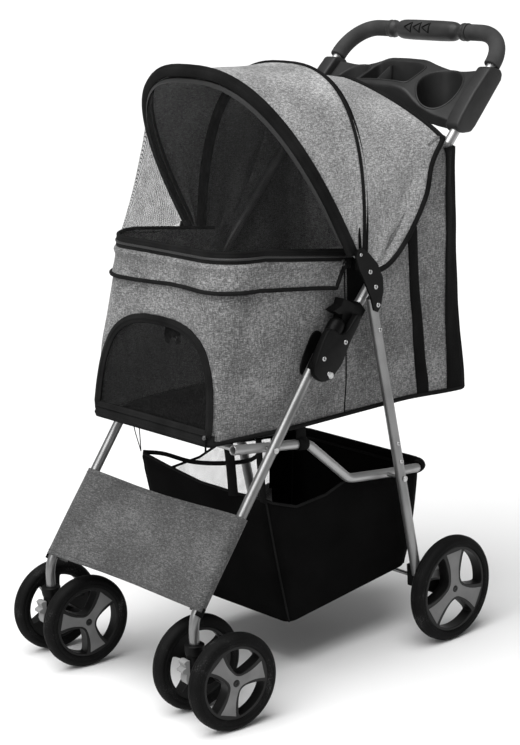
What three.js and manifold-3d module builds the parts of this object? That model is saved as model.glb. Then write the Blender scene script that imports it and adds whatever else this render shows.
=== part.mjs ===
// Pet stroller: a folding four-wheel frame with a fabric cabin, hood, shopping basket and cup tray.
// Millimetres, +Z up. The stroller faces -Y and its left side is +X. The floor is z = 0 and the
// origin is under the middle of its footprint.

import * as THREE from 'three';
import { mergeVertices } from 'three/addons/utils/BufferGeometryUtils.js';
import Module from 'manifold-3d';

const wasm = await Module();
wasm.setup();

// ---------------------------------------------------------------- driving dimensions

const GAP = 0.3; // air kept between touching pieces
const SIDES = [['left', 1], ['right', -1]];

const TUBE_RADIUS = 8;
const TUBE_WALL = 1.2;
const PIN_RADIUS = 3;

// Castors: one swivelling pair of wheels under each front leg.
const CASTER_X = 176;
const CASTER_Y = -339;
const CASTER_TRAIL = 33.7;
const CASTER_TURN = -7.5; // degrees about Z, both castors as they stand
const FRONT_WHEEL = { radius: 75, opening: 52, halfWidth: 13, centre: 48.5, axleRadius: 4 };

// Rear wheels on one through axle.
const REAR_WHEEL = { radius: 88, opening: 66, halfWidth: 13.4, centre: 213, axleRadius: 3.5 };
const REAR_AXLE = { y: 183, z: 88 };

// Side view of the frame, [y, z] of each pivot.
const HANDLE_PIVOT = [-73, 490];
const RAIL_FRONT_PIVOT = [-175, 390];
const RAIL_REAR_PIVOT = [88, 292];
const LEG_TOP_PIVOT = [23, 585];

const FRONT_LEG_X = 176;
const FRONT_LEG_LEAN = 0.74; // y gained per unit of height
const FRONT_LEG_TOP_Z = 519;
const RAIL_X = 157;
const RAIL_RADIUS = 7.5;
const REAR_LEG_RADIUS = 8.5;
const REAR_LEG_TOP_X = 193;
const REAR_LEG_BOTTOM_X = 190.5;

// Handle: straight arms, then a bend into the cross bar.
const HANDLE_X = 174;
const HANDLE_LEAN = 0.9; // y gained per unit of height
const HANDLE_BAR_Z = 972.5;
const HANDLE_BEND = 60;

// Cabin and hood.
const CABIN = { halfWidth: 157, frontHalf: 143, floorZ: 407, frontY: -265, rearY: 256, wall: 3.5 };
const CABIN_CORNER = 14; // radius of the front corners in plan
const CABIN_RIM = { frontY: -226, frontZ: 681, backY: -7, backZ: 658 };
const HOOD = { halfWidth: 183, roundness: 2.65, ribRadius: 3, cloth: 2, lift: 4 };
const FRONT_RIB = { base: [-14, 668], top: [-167, 941] };
const MID_RIB = { base: [6, 639], top: [26, 935.5] };
const REAR_ARCH = { base: [186, 822], top: [161, 903], roundness: 1.35 };

// ---------------------------------------------------------------- materials

function material(colour, roughness, metalness = 0) {
  return new THREE.MeshStandardMaterial({ color: colour, roughness, metalness });
}

const MATERIALS = {
  paintedTube: material(0x989a9c, 0.38, 0.75),
  steel: material(0xb9bcc0, 0.3, 0.9),
  blackPlastic: material(0x1c1d1f, 0.5),
  trayPlastic: material(0x2c2d2f, 0.45),
  greyPlastic: material(0x66686b, 0.5),
  leverPlastic: material(0x8a8c8e, 0.5),
  foam: material(0x303133, 0.9),
  rubber: material(0x1b1b1c, 0.85),
  greyFabric: material(0x67676a, 0.95),
  blackFabric: material(0x18181a, 0.95),
  blackMesh: material(0x101012, 0.95),
  board: material(0x3c3834, 0.9),
};

// ---------------------------------------------------------------- solids and paths

function solidOf(geometry) {
  const bare = geometry.clone();
  bare.deleteAttribute('normal');
  bare.deleteAttribute('uv');
  const merged = mergeVertices(bare, 1e-4);
  return new wasm.Manifold(new wasm.Mesh({
    numProp: 3,
    vertProperties: Float32Array.from(merged.attributes.position.array),
    triVerts: Uint32Array.from(merged.index.array),
  }));
}

function geometryOf(solid) {
  const mesh = solid.getMesh();
  const geometry = new THREE.BufferGeometry();
  geometry.setAttribute('position', new THREE.BufferAttribute(mesh.vertProperties, 3));
  geometry.setIndex(new THREE.BufferAttribute(mesh.triVerts, 1));
  geometry.computeVertexNormals();
  return geometry;
}

function join(first, ...others) {
  return geometryOf(others.reduce((solid, g) => solid.add(solidOf(g)), solidOf(first)));
}

function cut(first, ...others) {
  return geometryOf(others.reduce((solid, g) => solid.subtract(solidOf(g)), solidOf(first)));
}

function common(first, ...others) {
  return geometryOf(others.reduce((solid, g) => solid.intersect(solidOf(g)), solidOf(first)));
}

// A polyline whose corners are rounded by arcs, with stations only where the section has to turn.
class BentPath extends THREE.Curve {
  constructor(corners, bendRadius, stepsPerBend = 5) {
    super();
    const points = corners.map((corner) => new THREE.Vector3(...corner));
    const last = points.length - 1;
    this.points = [points[0]];
    this.tangents = [points[1].clone().sub(points[0]).normalize()];
    for (let i = 1; i < last; i += 1) {
      this.addBend(points[i - 1], points[i], points[i + 1], bendRadius, stepsPerBend);
    }
    this.points.push(points[last]);
    this.tangents.push(points[last].clone().sub(points[last - 1]).normalize());
    this.steps = this.points.length - 1;
  }

  addBend(before, corner, after, radius, steps) {
    const entering = corner.clone().sub(before).normalize();
    const leaving = after.clone().sub(corner).normalize();
    const turn = entering.angleTo(leaving);
    const inward = leaving.clone().addScaledVector(entering, -leaving.dot(entering)).normalize();
    const setback = radius * Math.tan(turn / 2);
    const centre = corner.clone().addScaledVector(entering, -setback).addScaledVector(inward, radius);
    for (let k = 0; k <= steps; k += 1) {
      const angle = (turn * k) / steps;
      const point = centre.clone();
      point.addScaledVector(inward, -radius * Math.cos(angle));
      point.addScaledVector(entering, radius * Math.sin(angle));
      const tangent = entering.clone().multiplyScalar(Math.cos(angle));
      tangent.addScaledVector(inward, Math.sin(angle));
      this.points.push(point);
      this.tangents.push(tangent);
    }
  }

  getPoint(t) {
    const place = t * this.steps;
    const index = Math.min(Math.floor(place + 1e-9), this.steps - 1);
    return this.points[index].clone().lerp(this.points[index + 1], place - index);
  }

  getPointAt(u) {
    return this.getPoint(u);
  }

  getTangentAt(u) {
    return this.tangents[Math.round(u * this.steps)].clone();
  }
}

function circlePoints(radius, count) {
  const points = [];
  for (let i = 0; i < count; i += 1) {
    const angle = (2 * Math.PI * i) / count;
    points.push(new THREE.Vector2(radius * Math.cos(angle), radius * Math.sin(angle)));
  }
  return points;
}

// A round section swept along a path. With an inner radius it is a pipe with open ends.
function sweep(path, outerRadius, innerRadius = 0, facets = 10) {
  const shape = new THREE.Shape(circlePoints(outerRadius, facets));
  if (innerRadius > 0) {
    shape.holes.push(new THREE.Path(circlePoints(innerRadius, facets).reverse()));
  }
  return new THREE.ExtrudeGeometry(shape, { steps: path.steps, extrudePath: path });
}

function pipe(corners, bendRadius, radius = TUBE_RADIUS, stepsPerBend = 3) {
  return sweep(new BentPath(corners, bendRadius, stepsPerBend), radius, radius - TUBE_WALL);
}

// Turns a geometry whose X, Y, Z mean the stroller's y, z, x into the stroller's own axes.
const SIDE_VIEW = new THREE.Matrix4().makeBasis(
  new THREE.Vector3(0, 1, 0),
  new THREE.Vector3(0, 0, 1),
  new THREE.Vector3(1, 0, 0),
);

// An outline of [y, z] points made solid from x0 to x1.
function slab(outline, x0, x1, curveSegments = 6) {
  const shape = outline instanceof THREE.Shape
    ? outline
    : new THREE.Shape(outline.map(([y, z]) => new THREE.Vector2(y, z)));
  const low = Math.min(x0, x1);
  const geometry = new THREE.ExtrudeGeometry(shape, {
    depth: Math.abs(x1 - x0),
    bevelEnabled: false,
    curveSegments,
  });
  return geometry.applyMatrix4(SIDE_VIEW).translate(low, 0, 0);
}

// A rod along X through [y, z], from x0 to x1.
function rod(x0, x1, [y, z], radius, facets = 10) {
  const geometry = new THREE.CylinderGeometry(radius, radius, Math.abs(x1 - x0), facets);
  geometry.rotateZ(Math.PI / 2);
  return geometry.translate((x0 + x1) / 2, y, z);
}

// A [radius, height] profile turned about an upright axis at [x, y].
function turned(profile, facets = 14) {
  return new THREE.LatheGeometry(profile.map(([r, z]) => new THREE.Vector2(r, z)), facets)
    .rotateX(Math.PI / 2);
}

// A [radius, x] ring profile turned about the X axis.
function turnedAboutX(profile, facets) {
  return new THREE.LatheGeometry(profile.map(([r, x]) => new THREE.Vector2(r, x)), facets)
    .rotateZ(-Math.PI / 2);
}

// A thin sheet with real thickness. surface(u, v) is its outer face, and side is +1 or -1 for which
// way its thickness goes.
function sheet(surface, countU, countV, thickness, side = 1) {
  const outer = [];
  const inner = [];
  const step = 1e-3;
  for (let j = 0; j <= countV; j += 1) {
    for (let i = 0; i <= countU; i += 1) {
      const u = i / countU;
      const v = j / countV;
      const point = surface(u, v);
      const alongU = surface(Math.min(u + step, 1), v).sub(surface(Math.max(u - step, 0), v));
      const alongV = surface(u, Math.min(v + step, 1)).sub(surface(u, Math.max(v - step, 0)));
      const normal = alongU.cross(alongV).normalize();
      outer.push(point);
      inner.push(point.clone().addScaledVector(normal, -side * thickness));
    }
  }
  const row = countU + 1;
  const offset = outer.length;
  const faces = [];
  const quad = (a, b, c, d) => faces.push(a, b, c, a, c, d);
  for (let j = 0; j < countV; j += 1) {
    for (let i = 0; i < countU; i += 1) {
      const a = j * row + i;
      quad(a, a + 1, a + row + 1, a + row);
      quad(offset + a, offset + a + row, offset + a + row + 1, offset + a + 1);
    }
  }
  const wall = (a, b) => quad(offset + a, offset + b, b, a);
  for (let i = 0; i < countU; i += 1) {
    wall(i, i + 1);
    wall(countV * row + i + 1, countV * row + i);
  }
  for (let j = 0; j < countV; j += 1) {
    wall((j + 1) * row, j * row);
    wall(j * row + countU, (j + 1) * row + countU);
  }
  if (side < 0) {
    for (let k = 0; k < faces.length; k += 3) {
      [faces[k + 1], faces[k + 2]] = [faces[k + 2], faces[k + 1]];
    }
  }
  const geometry = new THREE.BufferGeometry().setFromPoints([...outer, ...inner]);
  geometry.setIndex(faces);
  geometry.computeVertexNormals();
  return geometry;
}

const stroller = new THREE.Group();

function add(name, geometry, look, parent = stroller) {
  const mesh = new THREE.Mesh(geometry, look);
  mesh.name = name;
  parent.add(mesh);
  return mesh;
}

// ---------------------------------------------------------------- frame lines

function frontLegY(z) {
  return -240.7 + FRONT_LEG_LEAN * (z - 300);
}

function handleY(z) {
  return HANDLE_PIVOT[0] + HANDLE_LEAN * (z - HANDLE_PIVOT[1]);
}

function rearLegPoint(side, z) {
  const [topY, topZ] = LEG_TOP_PIVOT;
  const [lowY, lowZ] = RAIL_REAR_PIVOT;
  const y = topY + ((z - topZ) * (lowY - topY)) / (lowZ - topZ);
  const x = THREE.MathUtils.mapLinear(z, topZ, 108, REAR_LEG_TOP_X, REAR_LEG_BOTTOM_X);
  return [side * x, y, z];
}

// The handle arm's own axes in side view: along it, and square to it towards the front.
const ARM_LENGTH = Math.hypot(HANDLE_LEAN, 1);
const ARM_ALONG = [HANDLE_LEAN / ARM_LENGTH, 1 / ARM_LENGTH];
const ARM_ACROSS = [-ARM_ALONG[1], ARM_ALONG[0]];

function onArm(along, across) {
  return [
    HANDLE_PIVOT[0] + along * ARM_ALONG[0] + across * ARM_ACROSS[0],
    HANDLE_PIVOT[1] + along * ARM_ALONG[1] + across * ARM_ACROSS[1],
  ];
}

function armPoint(side, along) {
  return [side * HANDLE_X, ...onArm(along, 0)];
}

// A pivot rivet: a shank with a low domed head at each end.
function rivet(side, x0, x1, pivot, radius = PIN_RADIUS) {
  const head = 1.6;
  return join(
    rod(side * (x0 - head), side * (x1 + head), pivot, radius, 8),
    rod(side * (x0 - head), side * (x0 - GAP), pivot, radius + 2, 8),
    rod(side * (x1 + GAP), side * (x1 + head), pivot, radius + 2, 8),
  );
}

function pinHole(side, x0, x1, pivot, radius = PIN_RADIUS) {
  return rod(side * x0, side * x1, pivot, radius + GAP, 8);
}

// ---------------------------------------------------------------- front legs and latches

const LEG_FOOT_Z = 114.5;
const HOUSING = { inner: 159.5, slotInner: 163.7, slotOuter: 184.5, outer: 198 };
const HOUSING_OUTLINE = [
  [-132, 499], [-132, 515], [-121, 538], [-105, 564], [-90, 570], [-75, 568], [-62, 560],
  [-50, 549], [-36, 551], [-22, 566], [-12, 576], [-5, 572], [-8, 561], [-22, 543],
  [-34, 527], [-46, 504], [-55, 496], [-71, 484], [-87, 481], [-106, 485],
];

function frontLeg(side) {
  const bottomBendZ = 300 + (CASTER_Y + 240.7) / FRONT_LEG_LEAN;
  const leg = pipe([
    [side * FRONT_LEG_X, frontLegY(FRONT_LEG_TOP_Z), FRONT_LEG_TOP_Z],
    [side * FRONT_LEG_X, CASTER_Y, bottomBendZ],
    [side * FRONT_LEG_X, CASTER_Y, LEG_FOOT_Z],
  ], 55);
  return cut(leg, pinHole(side, FRONT_LEG_X - 12, FRONT_LEG_X + 12, RAIL_FRONT_PIVOT));
}

const SLIDER_PARTING = 62; // along the arm, above which only the outer cheek goes on

// Room for the handle arm and its slider, from where it stands round to where it hangs folded.
const ARM_SLOT_OUTLINE = [
  onArm(0, 11.5), onArm(SLIDER_PARTING, 11.5), onArm(SLIDER_PARTING, 70), onArm(150, 70),
  [200, 600], [200, 400], [-73, 400], HANDLE_PIVOT,
];
const ARM_HEEL_RADIUS = 12.8;

function hingeHousing(side) {
  const body = slab(HOUSING_OUTLINE, side * HOUSING.inner, side * HOUSING.outer);
  const legBore = sweep(new BentPath([
    [side * FRONT_LEG_X, frontLegY(450), 450],
    [side * FRONT_LEG_X, frontLegY(FRONT_LEG_TOP_Z + 1), FRONT_LEG_TOP_Z + 1],
  ], 1), TUBE_RADIUS + GAP);
  const slot = slab(ARM_SLOT_OUTLINE, side * HOUSING.slotInner, side * HOUSING.slotOuter);
  const heelRoom = rod(
    side * HOUSING.slotInner,
    side * HOUSING.slotOuter,
    HANDLE_PIVOT,
    ARM_HEEL_RADIUS,
    24,
  );
  const pivot = pinHole(side, HOUSING.inner - 2, HOUSING.outer + 2, HANDLE_PIVOT, 3.5);
  const innerTrim = slab([
    onArm(SLIDER_PARTING, 70), onArm(150, 70), onArm(150, -40), onArm(SLIDER_PARTING, -40),
  ], side * (HOUSING.inner - 1), side * (HOUSING.slotInner + 1));
  return cut(body, legBore, slot, heelRoom, pivot, innerTrim);
}

// Front cloth panel stretched between the lower legs.
function footrestPanel() {
  const across = 8 + 1;
  const thick = 3;
  const along = 1 / Math.hypot(FRONT_LEG_LEAN, 1);
  const place = (z, out) => [
    frontLegY(z) - out * along,
    z + out * along * FRONT_LEG_LEAN,
  ];
  return slab([
    place(183, across), place(183, across + thick), place(289, across + thick), place(289, across),
  ], -186, 186);
}

for (const [name, side] of SIDES) {
  add(`front_leg_${name}`, frontLeg(side), MATERIALS.paintedTube);
  add(`hinge_housing_${name}`, hingeHousing(side), MATERIALS.blackPlastic);
  add(
    `handle_pivot_pin_${name}`,
    rivet(side, HOUSING.inner, HOUSING.outer, HANDLE_PIVOT, 3.5),
    MATERIALS.steel,
  );
}
add('footrest_panel', footrestPanel(), MATERIALS.greyFabric);

// ---------------------------------------------------------------- wheels

const THIRD_TURN = (2 * Math.PI) / 3;
const WHEEL_FACETS = 26;

// One of the three windows between the arms of a wheel, as [y, z] points.
function wheelWindow(opening, middle) {
  const at = (radius, angle) => new THREE.Vector2(radius * Math.cos(angle), radius * Math.sin(angle));
  const rimHalf = THIRD_TURN / 2 - Math.asin(0.35);
  const waist = opening * 0.42;
  const waistHalf = THIRD_TURN / 2 - Math.asin((opening * 0.2) / waist);
  const points = [];
  const arcSteps = 6;
  for (let i = 0; i <= arcSteps; i += 1) {
    points.push(at(opening, middle + rimHalf * ((2 * i) / arcSteps - 1)));
  }
  const throat = new THREE.QuadraticBezierCurve(
    at(waist, middle + waistHalf),
    at(opening * 0.27, middle),
    at(waist, middle - waistHalf),
  );
  return new THREE.Path([...points, ...throat.getPoints(3)]);
}

// Rim, three arms and hub in one moulding, with a blind bore for the axle. Its axis is X and its
// show face looks along outward.
function wheelHub(wheel, phase, outward, hubInner) {
  const rimRadius = wheel.opening + 5;
  const shape = new THREE.Shape(circlePoints(rimRadius, WHEEL_FACETS));
  for (let k = 0; k < 3; k += 1) {
    shape.holes.push(wheelWindow(wheel.opening, phase + THIRD_TURN * (k + 0.5)));
  }
  const face = wheel.halfWidth - 3;
  const disc = slab(shape, -face, face);
  const hub = rod(outward * hubInner, outward * (face - 2), [0, 0], 12, 12);
  const bore = rod(outward * (hubInner - 2), outward * (face - 4), [0, 0], wheel.axleRadius + GAP);
  return cut(join(disc, hub), bore);
}

function tyre(wheel) {
  const { radius, halfWidth } = wheel;
  const seat = (wheel.opening + 5) / Math.cos(Math.PI / WHEEL_FACETS) + GAP;
  return turnedAboutX([
    [seat, -halfWidth + 1], [radius - 9, -halfWidth], [radius - 3, -halfWidth + 3.5],
    [radius, -4], [radius, 4], [radius - 3, halfWidth - 3.5], [radius - 9, halfWidth],
    [seat, halfWidth - 1], [seat, -halfWidth + 1],
  ], WHEEL_FACETS);
}

// ---------------------------------------------------------------- castors

const CASTER = { barrelRadius: 13, barrelTop: 110.7, barrelBottom: 62, bossHalf: 34.5 };
const AXLE_Z = FRONT_WHEEL.radius;
const HUB_INNER = -12;

function casterStem() {
  return turned([
    [0, 68], [4.5, 68], [4.5, 111], [14, 111], [15.5, 118], [15.5, 126], [12.5, 128],
    [TUBE_RADIUS + GAP, 128], [TUBE_RADIUS + GAP, 114.2], [0, 114.2],
  ]);
}

function casterBody() {
  const barrel = turned([
    [0, CASTER.barrelBottom], [10, CASTER.barrelBottom], [CASTER.barrelRadius, 66],
    [CASTER.barrelRadius, CASTER.barrelTop], [0, CASTER.barrelTop],
  ]);
  const boss = rod(-CASTER.bossHalf, CASTER.bossHalf, [CASTER_TRAIL, AXLE_Z], 11, 12);
  const web = slab([[4, 62], [4, 96], [16, 98], [36, 84], [36, 66], [20, 62]], -11, 11);
  const stemBore = turned([[0, 67], [4.8, 67], [4.8, 120], [0, 120]]);
  const axleBore = rod(
    -CASTER.bossHalf - 2,
    CASTER.bossHalf + 2,
    [CASTER_TRAIL, AXLE_Z],
    FRONT_WHEEL.axleRadius + GAP,
  );
  return cut(join(barrel, boss, web), stemBore, axleBore);
}

// Thumb lever on the front of the castor that stops it swivelling.
function swivelLock() {
  return slab([
    [-13.6, 72], [-19, 70], [-21, 76], [-20, 86], [-27, 89], [-27, 93], [-21, 96], [-24, 104],
    [-19, 107], [-13.6, 106],
  ], -8, 8);
}

const WHEEL_PHASES = { left_outer: 12, left_inner: 12, right_outer: -13, right_inner: 47 };

for (const [name, side] of SIDES) {
  const caster = new THREE.Group();
  caster.position.set(side * CASTER_X, CASTER_Y, 0);
  caster.rotation.z = THREE.MathUtils.degToRad(CASTER_TURN);
  stroller.add(caster);

  const stem = add(`caster_stem_${name}`, casterStem(), MATERIALS.blackPlastic);
  stem.position.set(side * CASTER_X, CASTER_Y, 0);
  add(`caster_body_${name}`, casterBody(), MATERIALS.blackPlastic, caster);
  add(`swivel_lock_${name}`, swivelLock(), MATERIALS.leverPlastic, caster);
  const axleEnd = FRONT_WHEEL.centre + FRONT_WHEEL.halfWidth - 7.5;
  add(
    `caster_axle_${name}`,
    rod(-axleEnd, axleEnd, [CASTER_TRAIL, AXLE_Z], FRONT_WHEEL.axleRadius),
    MATERIALS.steel,
    caster,
  );

  for (const [place, direction] of [['outer', side], ['inner', -side]]) {
    const phase = THREE.MathUtils.degToRad(WHEEL_PHASES[`${name}_${place}`]);
    const centre = [direction * FRONT_WHEEL.centre, CASTER_TRAIL, AXLE_Z];
    const hub = wheelHub(FRONT_WHEEL, phase, direction, HUB_INNER);
    add(`front_hub_${name}_${place}`, hub, MATERIALS.greyPlastic, caster).position.set(...centre);
    const rubber = tyre(FRONT_WHEEL);
    add(`front_tyre_${name}_${place}`, rubber, MATERIALS.rubber, caster).position.set(...centre);
  }
}

// ---------------------------------------------------------------- rear legs, axle and brakes

const AXLE_HALF = REAR_WHEEL.centre + REAR_WHEEL.halfWidth - 8;

function rearLeg(side) {
  const leg = pipe([rearLegPoint(side, 595), rearLegPoint(side, 108)], 1, REAR_LEG_RADIUS);
  return cut(leg, pinHole(side, 176, 206, RAIL_REAR_PIVOT));
}

// Black moulding that takes the leg's foot and carries the axle behind it.
function axleHousing(side) {
  const body = slab([
    [119, 100], [117, 136], [137, 138], [147, 104], [176, 100], [196, 96], [197, 82],
    [186, 74], [160, 80], [132, 94],
  ], side * 177, side * 197.4);
  const socket = sweep(
    new BentPath([rearLegPoint(side, 107.4), rearLegPoint(side, 180)], 1),
    REAR_LEG_RADIUS + GAP,
  );
  const axleBore = rod(
    side * 170,
    side * 200,
    [REAR_AXLE.y, REAR_AXLE.z],
    REAR_WHEEL.axleRadius + GAP,
  );
  return cut(body, socket, axleBore);
}

// Foot lever above the axle. It turns about the front of its foot and drops between the arms.
function brakePedal(side) {
  return slab([
    [154, 106.5], [154, 114], [166, 118], [192, 116], [214, 122], [217, 117], [196, 104],
    [180, 102.5], [168, 104.8],
  ], side * 178.5, side * 196);
}

for (const [name, side] of SIDES) {
  add(`rear_leg_${name}`, rearLeg(side), MATERIALS.paintedTube);
  add(`axle_housing_${name}`, axleHousing(side), MATERIALS.blackPlastic);
  add(`brake_pedal_${name}`, brakePedal(side), MATERIALS.greyPlastic);
  const phase = THREE.MathUtils.degToRad(side > 0 ? 92.5 : 40);
  const centre = [side * REAR_WHEEL.centre, REAR_AXLE.y, REAR_AXLE.z];
  const hub = wheelHub(REAR_WHEEL, phase, side, HUB_INNER);
  add(`rear_hub_${name}`, hub, MATERIALS.greyPlastic).position.set(...centre);
  add(`rear_tyre_${name}`, tyre(REAR_WHEEL), MATERIALS.rubber).position.set(...centre);
}
add(
  'rear_axle',
  rod(-AXLE_HALF, AXLE_HALF, [REAR_AXLE.y, REAR_AXLE.z], REAR_WHEEL.axleRadius),
  MATERIALS.steel,
);

// ---------------------------------------------------------------- seat rail

const RAIL_CORNERS = [[-238, 398.5], [-85, 378], [4, 302], [94, 291.5], [190, 283.3]];

function seatRail() {
  const arm = (side) => RAIL_CORNERS.map(([y, z]) => [side * RAIL_X, y, z]);
  const rail = pipe([...arm(1), ...arm(-1).reverse()], 28, RAIL_RADIUS, 2);
  const holes = SIDES.flatMap(([, side]) => [
    pinHole(side, RAIL_X - 12, RAIL_X + 12, RAIL_FRONT_PIVOT),
    pinHole(side, RAIL_X - 12, RAIL_X + 12, RAIL_REAR_PIVOT),
  ]);
  return cut(rail, ...holes);
}

add('seat_rail', seatRail(), MATERIALS.paintedTube);
add(
  'rail_front_bar',
  rod(-RAIL_X + RAIL_RADIUS + GAP, RAIL_X - RAIL_RADIUS - GAP, [-226, 397], 5),
  MATERIALS.paintedTube,
);
for (const [name, side] of SIDES) {
  add(`rail_front_pin_${name}`, rivet(side, 149.5, 184, RAIL_FRONT_PIVOT), MATERIALS.steel);
  add(`rail_rear_pin_${name}`, rivet(side, 149.5, 200.6, RAIL_REAR_PIVOT), MATERIALS.steel);
}

// ---------------------------------------------------------------- handle

const FOAM_START = 585; // along the arm from its pivot
const GRIP_HALF = 88;

function handleTube() {
  const barY = handleY(HANDLE_BAR_Z);
  const corner = (side) => [side * HANDLE_X, barY, HANDLE_BAR_Z];
  const tube = pipe(
    [armPoint(1, -9), corner(1), corner(-1), armPoint(-1, -9)],
    HANDLE_BEND,
    TUBE_RADIUS,
    5,
  );
  const holes = SIDES.map(([, side]) => pinHole(side, 160, 190, HANDLE_PIVOT, 3.5));
  return cut(tube, ...holes);
}

function foamSleeve(side) {
  const barY = handleY(HANDLE_BAR_Z);
  const path = new BentPath([
    armPoint(side, FOAM_START),
    [side * HANDLE_X, barY, HANDLE_BAR_Z],
    [side * (GRIP_HALF + 0.5), barY, HANDLE_BAR_Z],
  ], HANDLE_BEND, 5);
  return sweep(path, 13.5, TUBE_RADIUS + 2 * GAP);
}

function centreGrip() {
  const bore = TUBE_RADIUS + GAP;
  const half = [
    [bore, GRIP_HALF], [14, GRIP_HALF], [14, 77], [12, 75], [12, 68], [15.5, 60], [16.5, 50],
  ];
  const mirrored = half.map(([r, x]) => [r, -x]).reverse();
  const profile = [...half, ...mirrored, half[0]].reverse();
  return turnedAboutX(profile, 14).translate(0, handleY(HANDLE_BAR_Z), HANDLE_BAR_Z);
}

// Hooked release piece that slides up each arm out of the latch housing.
const SLIDER = { inner: 164.2, outer: 184 };

function releaseSlider(side) {
  const body = slab([
    onArm(46, -11), onArm(124, -11), onArm(126, 9), onArm(119, 13), onArm(112, 40),
    [-33, 590], [-51, 584], [-40, 577], onArm(92, 27), onArm(84, 22), onArm(78, 11),
    onArm(46, 11),
  ], side * SLIDER.inner, side * SLIDER.outer);
  const bore = sweep(
    new BentPath([armPoint(side, 20), armPoint(side, 160)], 1),
    TUBE_RADIUS + GAP,
  );
  return cut(body, bore);
}

// Plate outside each arm that carries the hood ribs and the top of the rear leg.
const PLATE = { inner: 202.4, outer: 206 };
const PLATE_OUTLINE = [
  [-24, 666], [-20, 676], [-10, 678], [4, 668], [22, 650], [34, 626], [35, 606], [29, 582],
  [22, 574], [14, 578], [8, 598], [-6, 626], [-18, 648],
];
const PLATE_BOSS = [32, 607];

function pivotPlate(side) {
  const plate = slab(PLATE_OUTLINE, side * PLATE.inner, side * PLATE.outer);
  const boss = (from, pivot, radius) => rod(side * from, side * (PLATE.inner + 1), pivot, radius);
  return join(
    plate,
    boss(HANDLE_X + TUBE_RADIUS + GAP, PLATE_BOSS, 5.5),
    boss(HOOD.halfWidth + HOOD.ribRadius + GAP, FRONT_RIB.base, 3.5),
    boss(HOOD.halfWidth + HOOD.ribRadius + GAP, MID_RIB.base, 3.5),
  );
}

add('handle_tube', handleTube(), MATERIALS.paintedTube);
add('centre_grip', centreGrip(), MATERIALS.blackPlastic);
for (const [name, side] of SIDES) {
  add(`foam_sleeve_${name}`, foamSleeve(side), MATERIALS.foam);
  add(`release_slider_${name}`, releaseSlider(side), MATERIALS.blackPlastic);
  add(`pivot_plate_${name}`, pivotPlate(side), MATERIALS.blackPlastic);
}

// ---------------------------------------------------------------- cup tray

const TRAY = { frontY: 234, rearY: 312, halfWidth: 163, thick: 3.5, cupX: 104, cupY: 273 };
const CUP = { radius: 37, wall: 3, floorZ: 836 };
const BIN = { halfX: 54, frontY: 244, rearY: 300, floorZ: 862 };

function blend(from, to, value) {
  return THREE.MathUtils.smoothstep(value, from, to);
}

// Height of the tray's top face: a raised middle that runs down to the arms at the front.
function trayTop(x, y) {
  const away = Math.abs(x);
  const front = 896 - 49 * blend(45, 120, away);
  const rear = 930 - 14 * blend(20, 100, away);
  return front + ((rear - front) * (y - TRAY.frontY)) / (TRAY.rearY - TRAY.frontY);
}

function trayDeck(thickness) {
  const surface = (u, v) => {
    const x = (2 * u - 1) * TRAY.halfWidth;
    const y = TRAY.frontY + v * (TRAY.rearY - TRAY.frontY);
    return new THREE.Vector3(x, y, trayTop(x, y));
  };
  const grid = sheet(surface, 14, 2, 1);
  const position = grid.attributes.position;
  const outerCount = position.count / 2;
  for (let i = 0; i < outerCount; i += 1) {
    const top = [position.getX(i), position.getY(i), position.getZ(i)];
    position.setXYZ(outerCount + i, top[0], top[1], top[2] - thickness);
  }
  return grid;
}

function upright(radius, x, y, low, high, facets = 18) {
  const geometry = new THREE.CylinderGeometry(radius, radius, high - low, facets);
  return geometry.rotateX(Math.PI / 2).translate(x, y, (low + high) / 2);
}

function block(x0, x1, y0, y1, z0, z1) {
  const geometry = new THREE.BoxGeometry(x1 - x0, y1 - y0, z1 - z0);
  return geometry.translate((x0 + x1) / 2, (y0 + y1) / 2, (z0 + z1) / 2);
}

function cupTray() {
  const under = trayDeck(130);
  const wall = CUP.wall;
  const wells = SIDES.map(([, side]) => upright(
    CUP.radius + wall, side * TRAY.cupX, TRAY.cupY, CUP.floorZ - wall, 960,
  ));
  const bin = block(
    -BIN.halfX - wall, BIN.halfX + wall, BIN.frontY - wall, BIN.rearY + wall,
    BIN.floorZ - wall, 960,
  );
  const skirt = block(-TRAY.halfWidth, TRAY.halfWidth, TRAY.frontY, TRAY.frontY + wall, 780, 960);
  const skirtDepth = common(skirt, trayDeck(22));
  const cheeks = SIDES.map(([, side]) => slab([
    [222, 838], [236, 826], [258, 826], [330, 906], [322, 921], [300, 924], [243, 868],
  ], side * 161, side * 187));
  const arms = SIDES.map(([, side]) => sweep(
    new BentPath([armPoint(side, 380), armPoint(side, 640)], 1),
    TUBE_RADIUS + GAP,
  ));
  const cups = SIDES.map(([, side]) => upright(
    CUP.radius, side * TRAY.cupX, TRAY.cupY, CUP.floorZ, 980,
  ));
  const hollow = block(-BIN.halfX, BIN.halfX, BIN.frontY, BIN.rearY, BIN.floorZ, 980);
  const solid = join(
    trayDeck(TRAY.thick),
    ...wells.map((well) => common(well, under)),
    common(bin, under),
    skirtDepth,
    ...cheeks,
  );
  return cut(solid, ...cups, hollow, ...arms);
}

add('cup_tray', cupTray(), MATERIALS.trayPlastic);

// ---------------------------------------------------------------- cabin

function cabinProfile(inset, rise) {
  const { frontY, rearY, floorZ } = CABIN;
  const rim = CABIN_RIM;
  return [
    [frontY + inset, floorZ + inset],
    [rearY - inset, floorZ + inset],
    [244 - inset, 604],
    [234 - inset, 798 + rise],
    [222 - inset, 815 + rise],
    [rim.backY, rim.backZ + rise],
    [rim.frontY + inset, rim.frontZ + rise],
  ];
}

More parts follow.
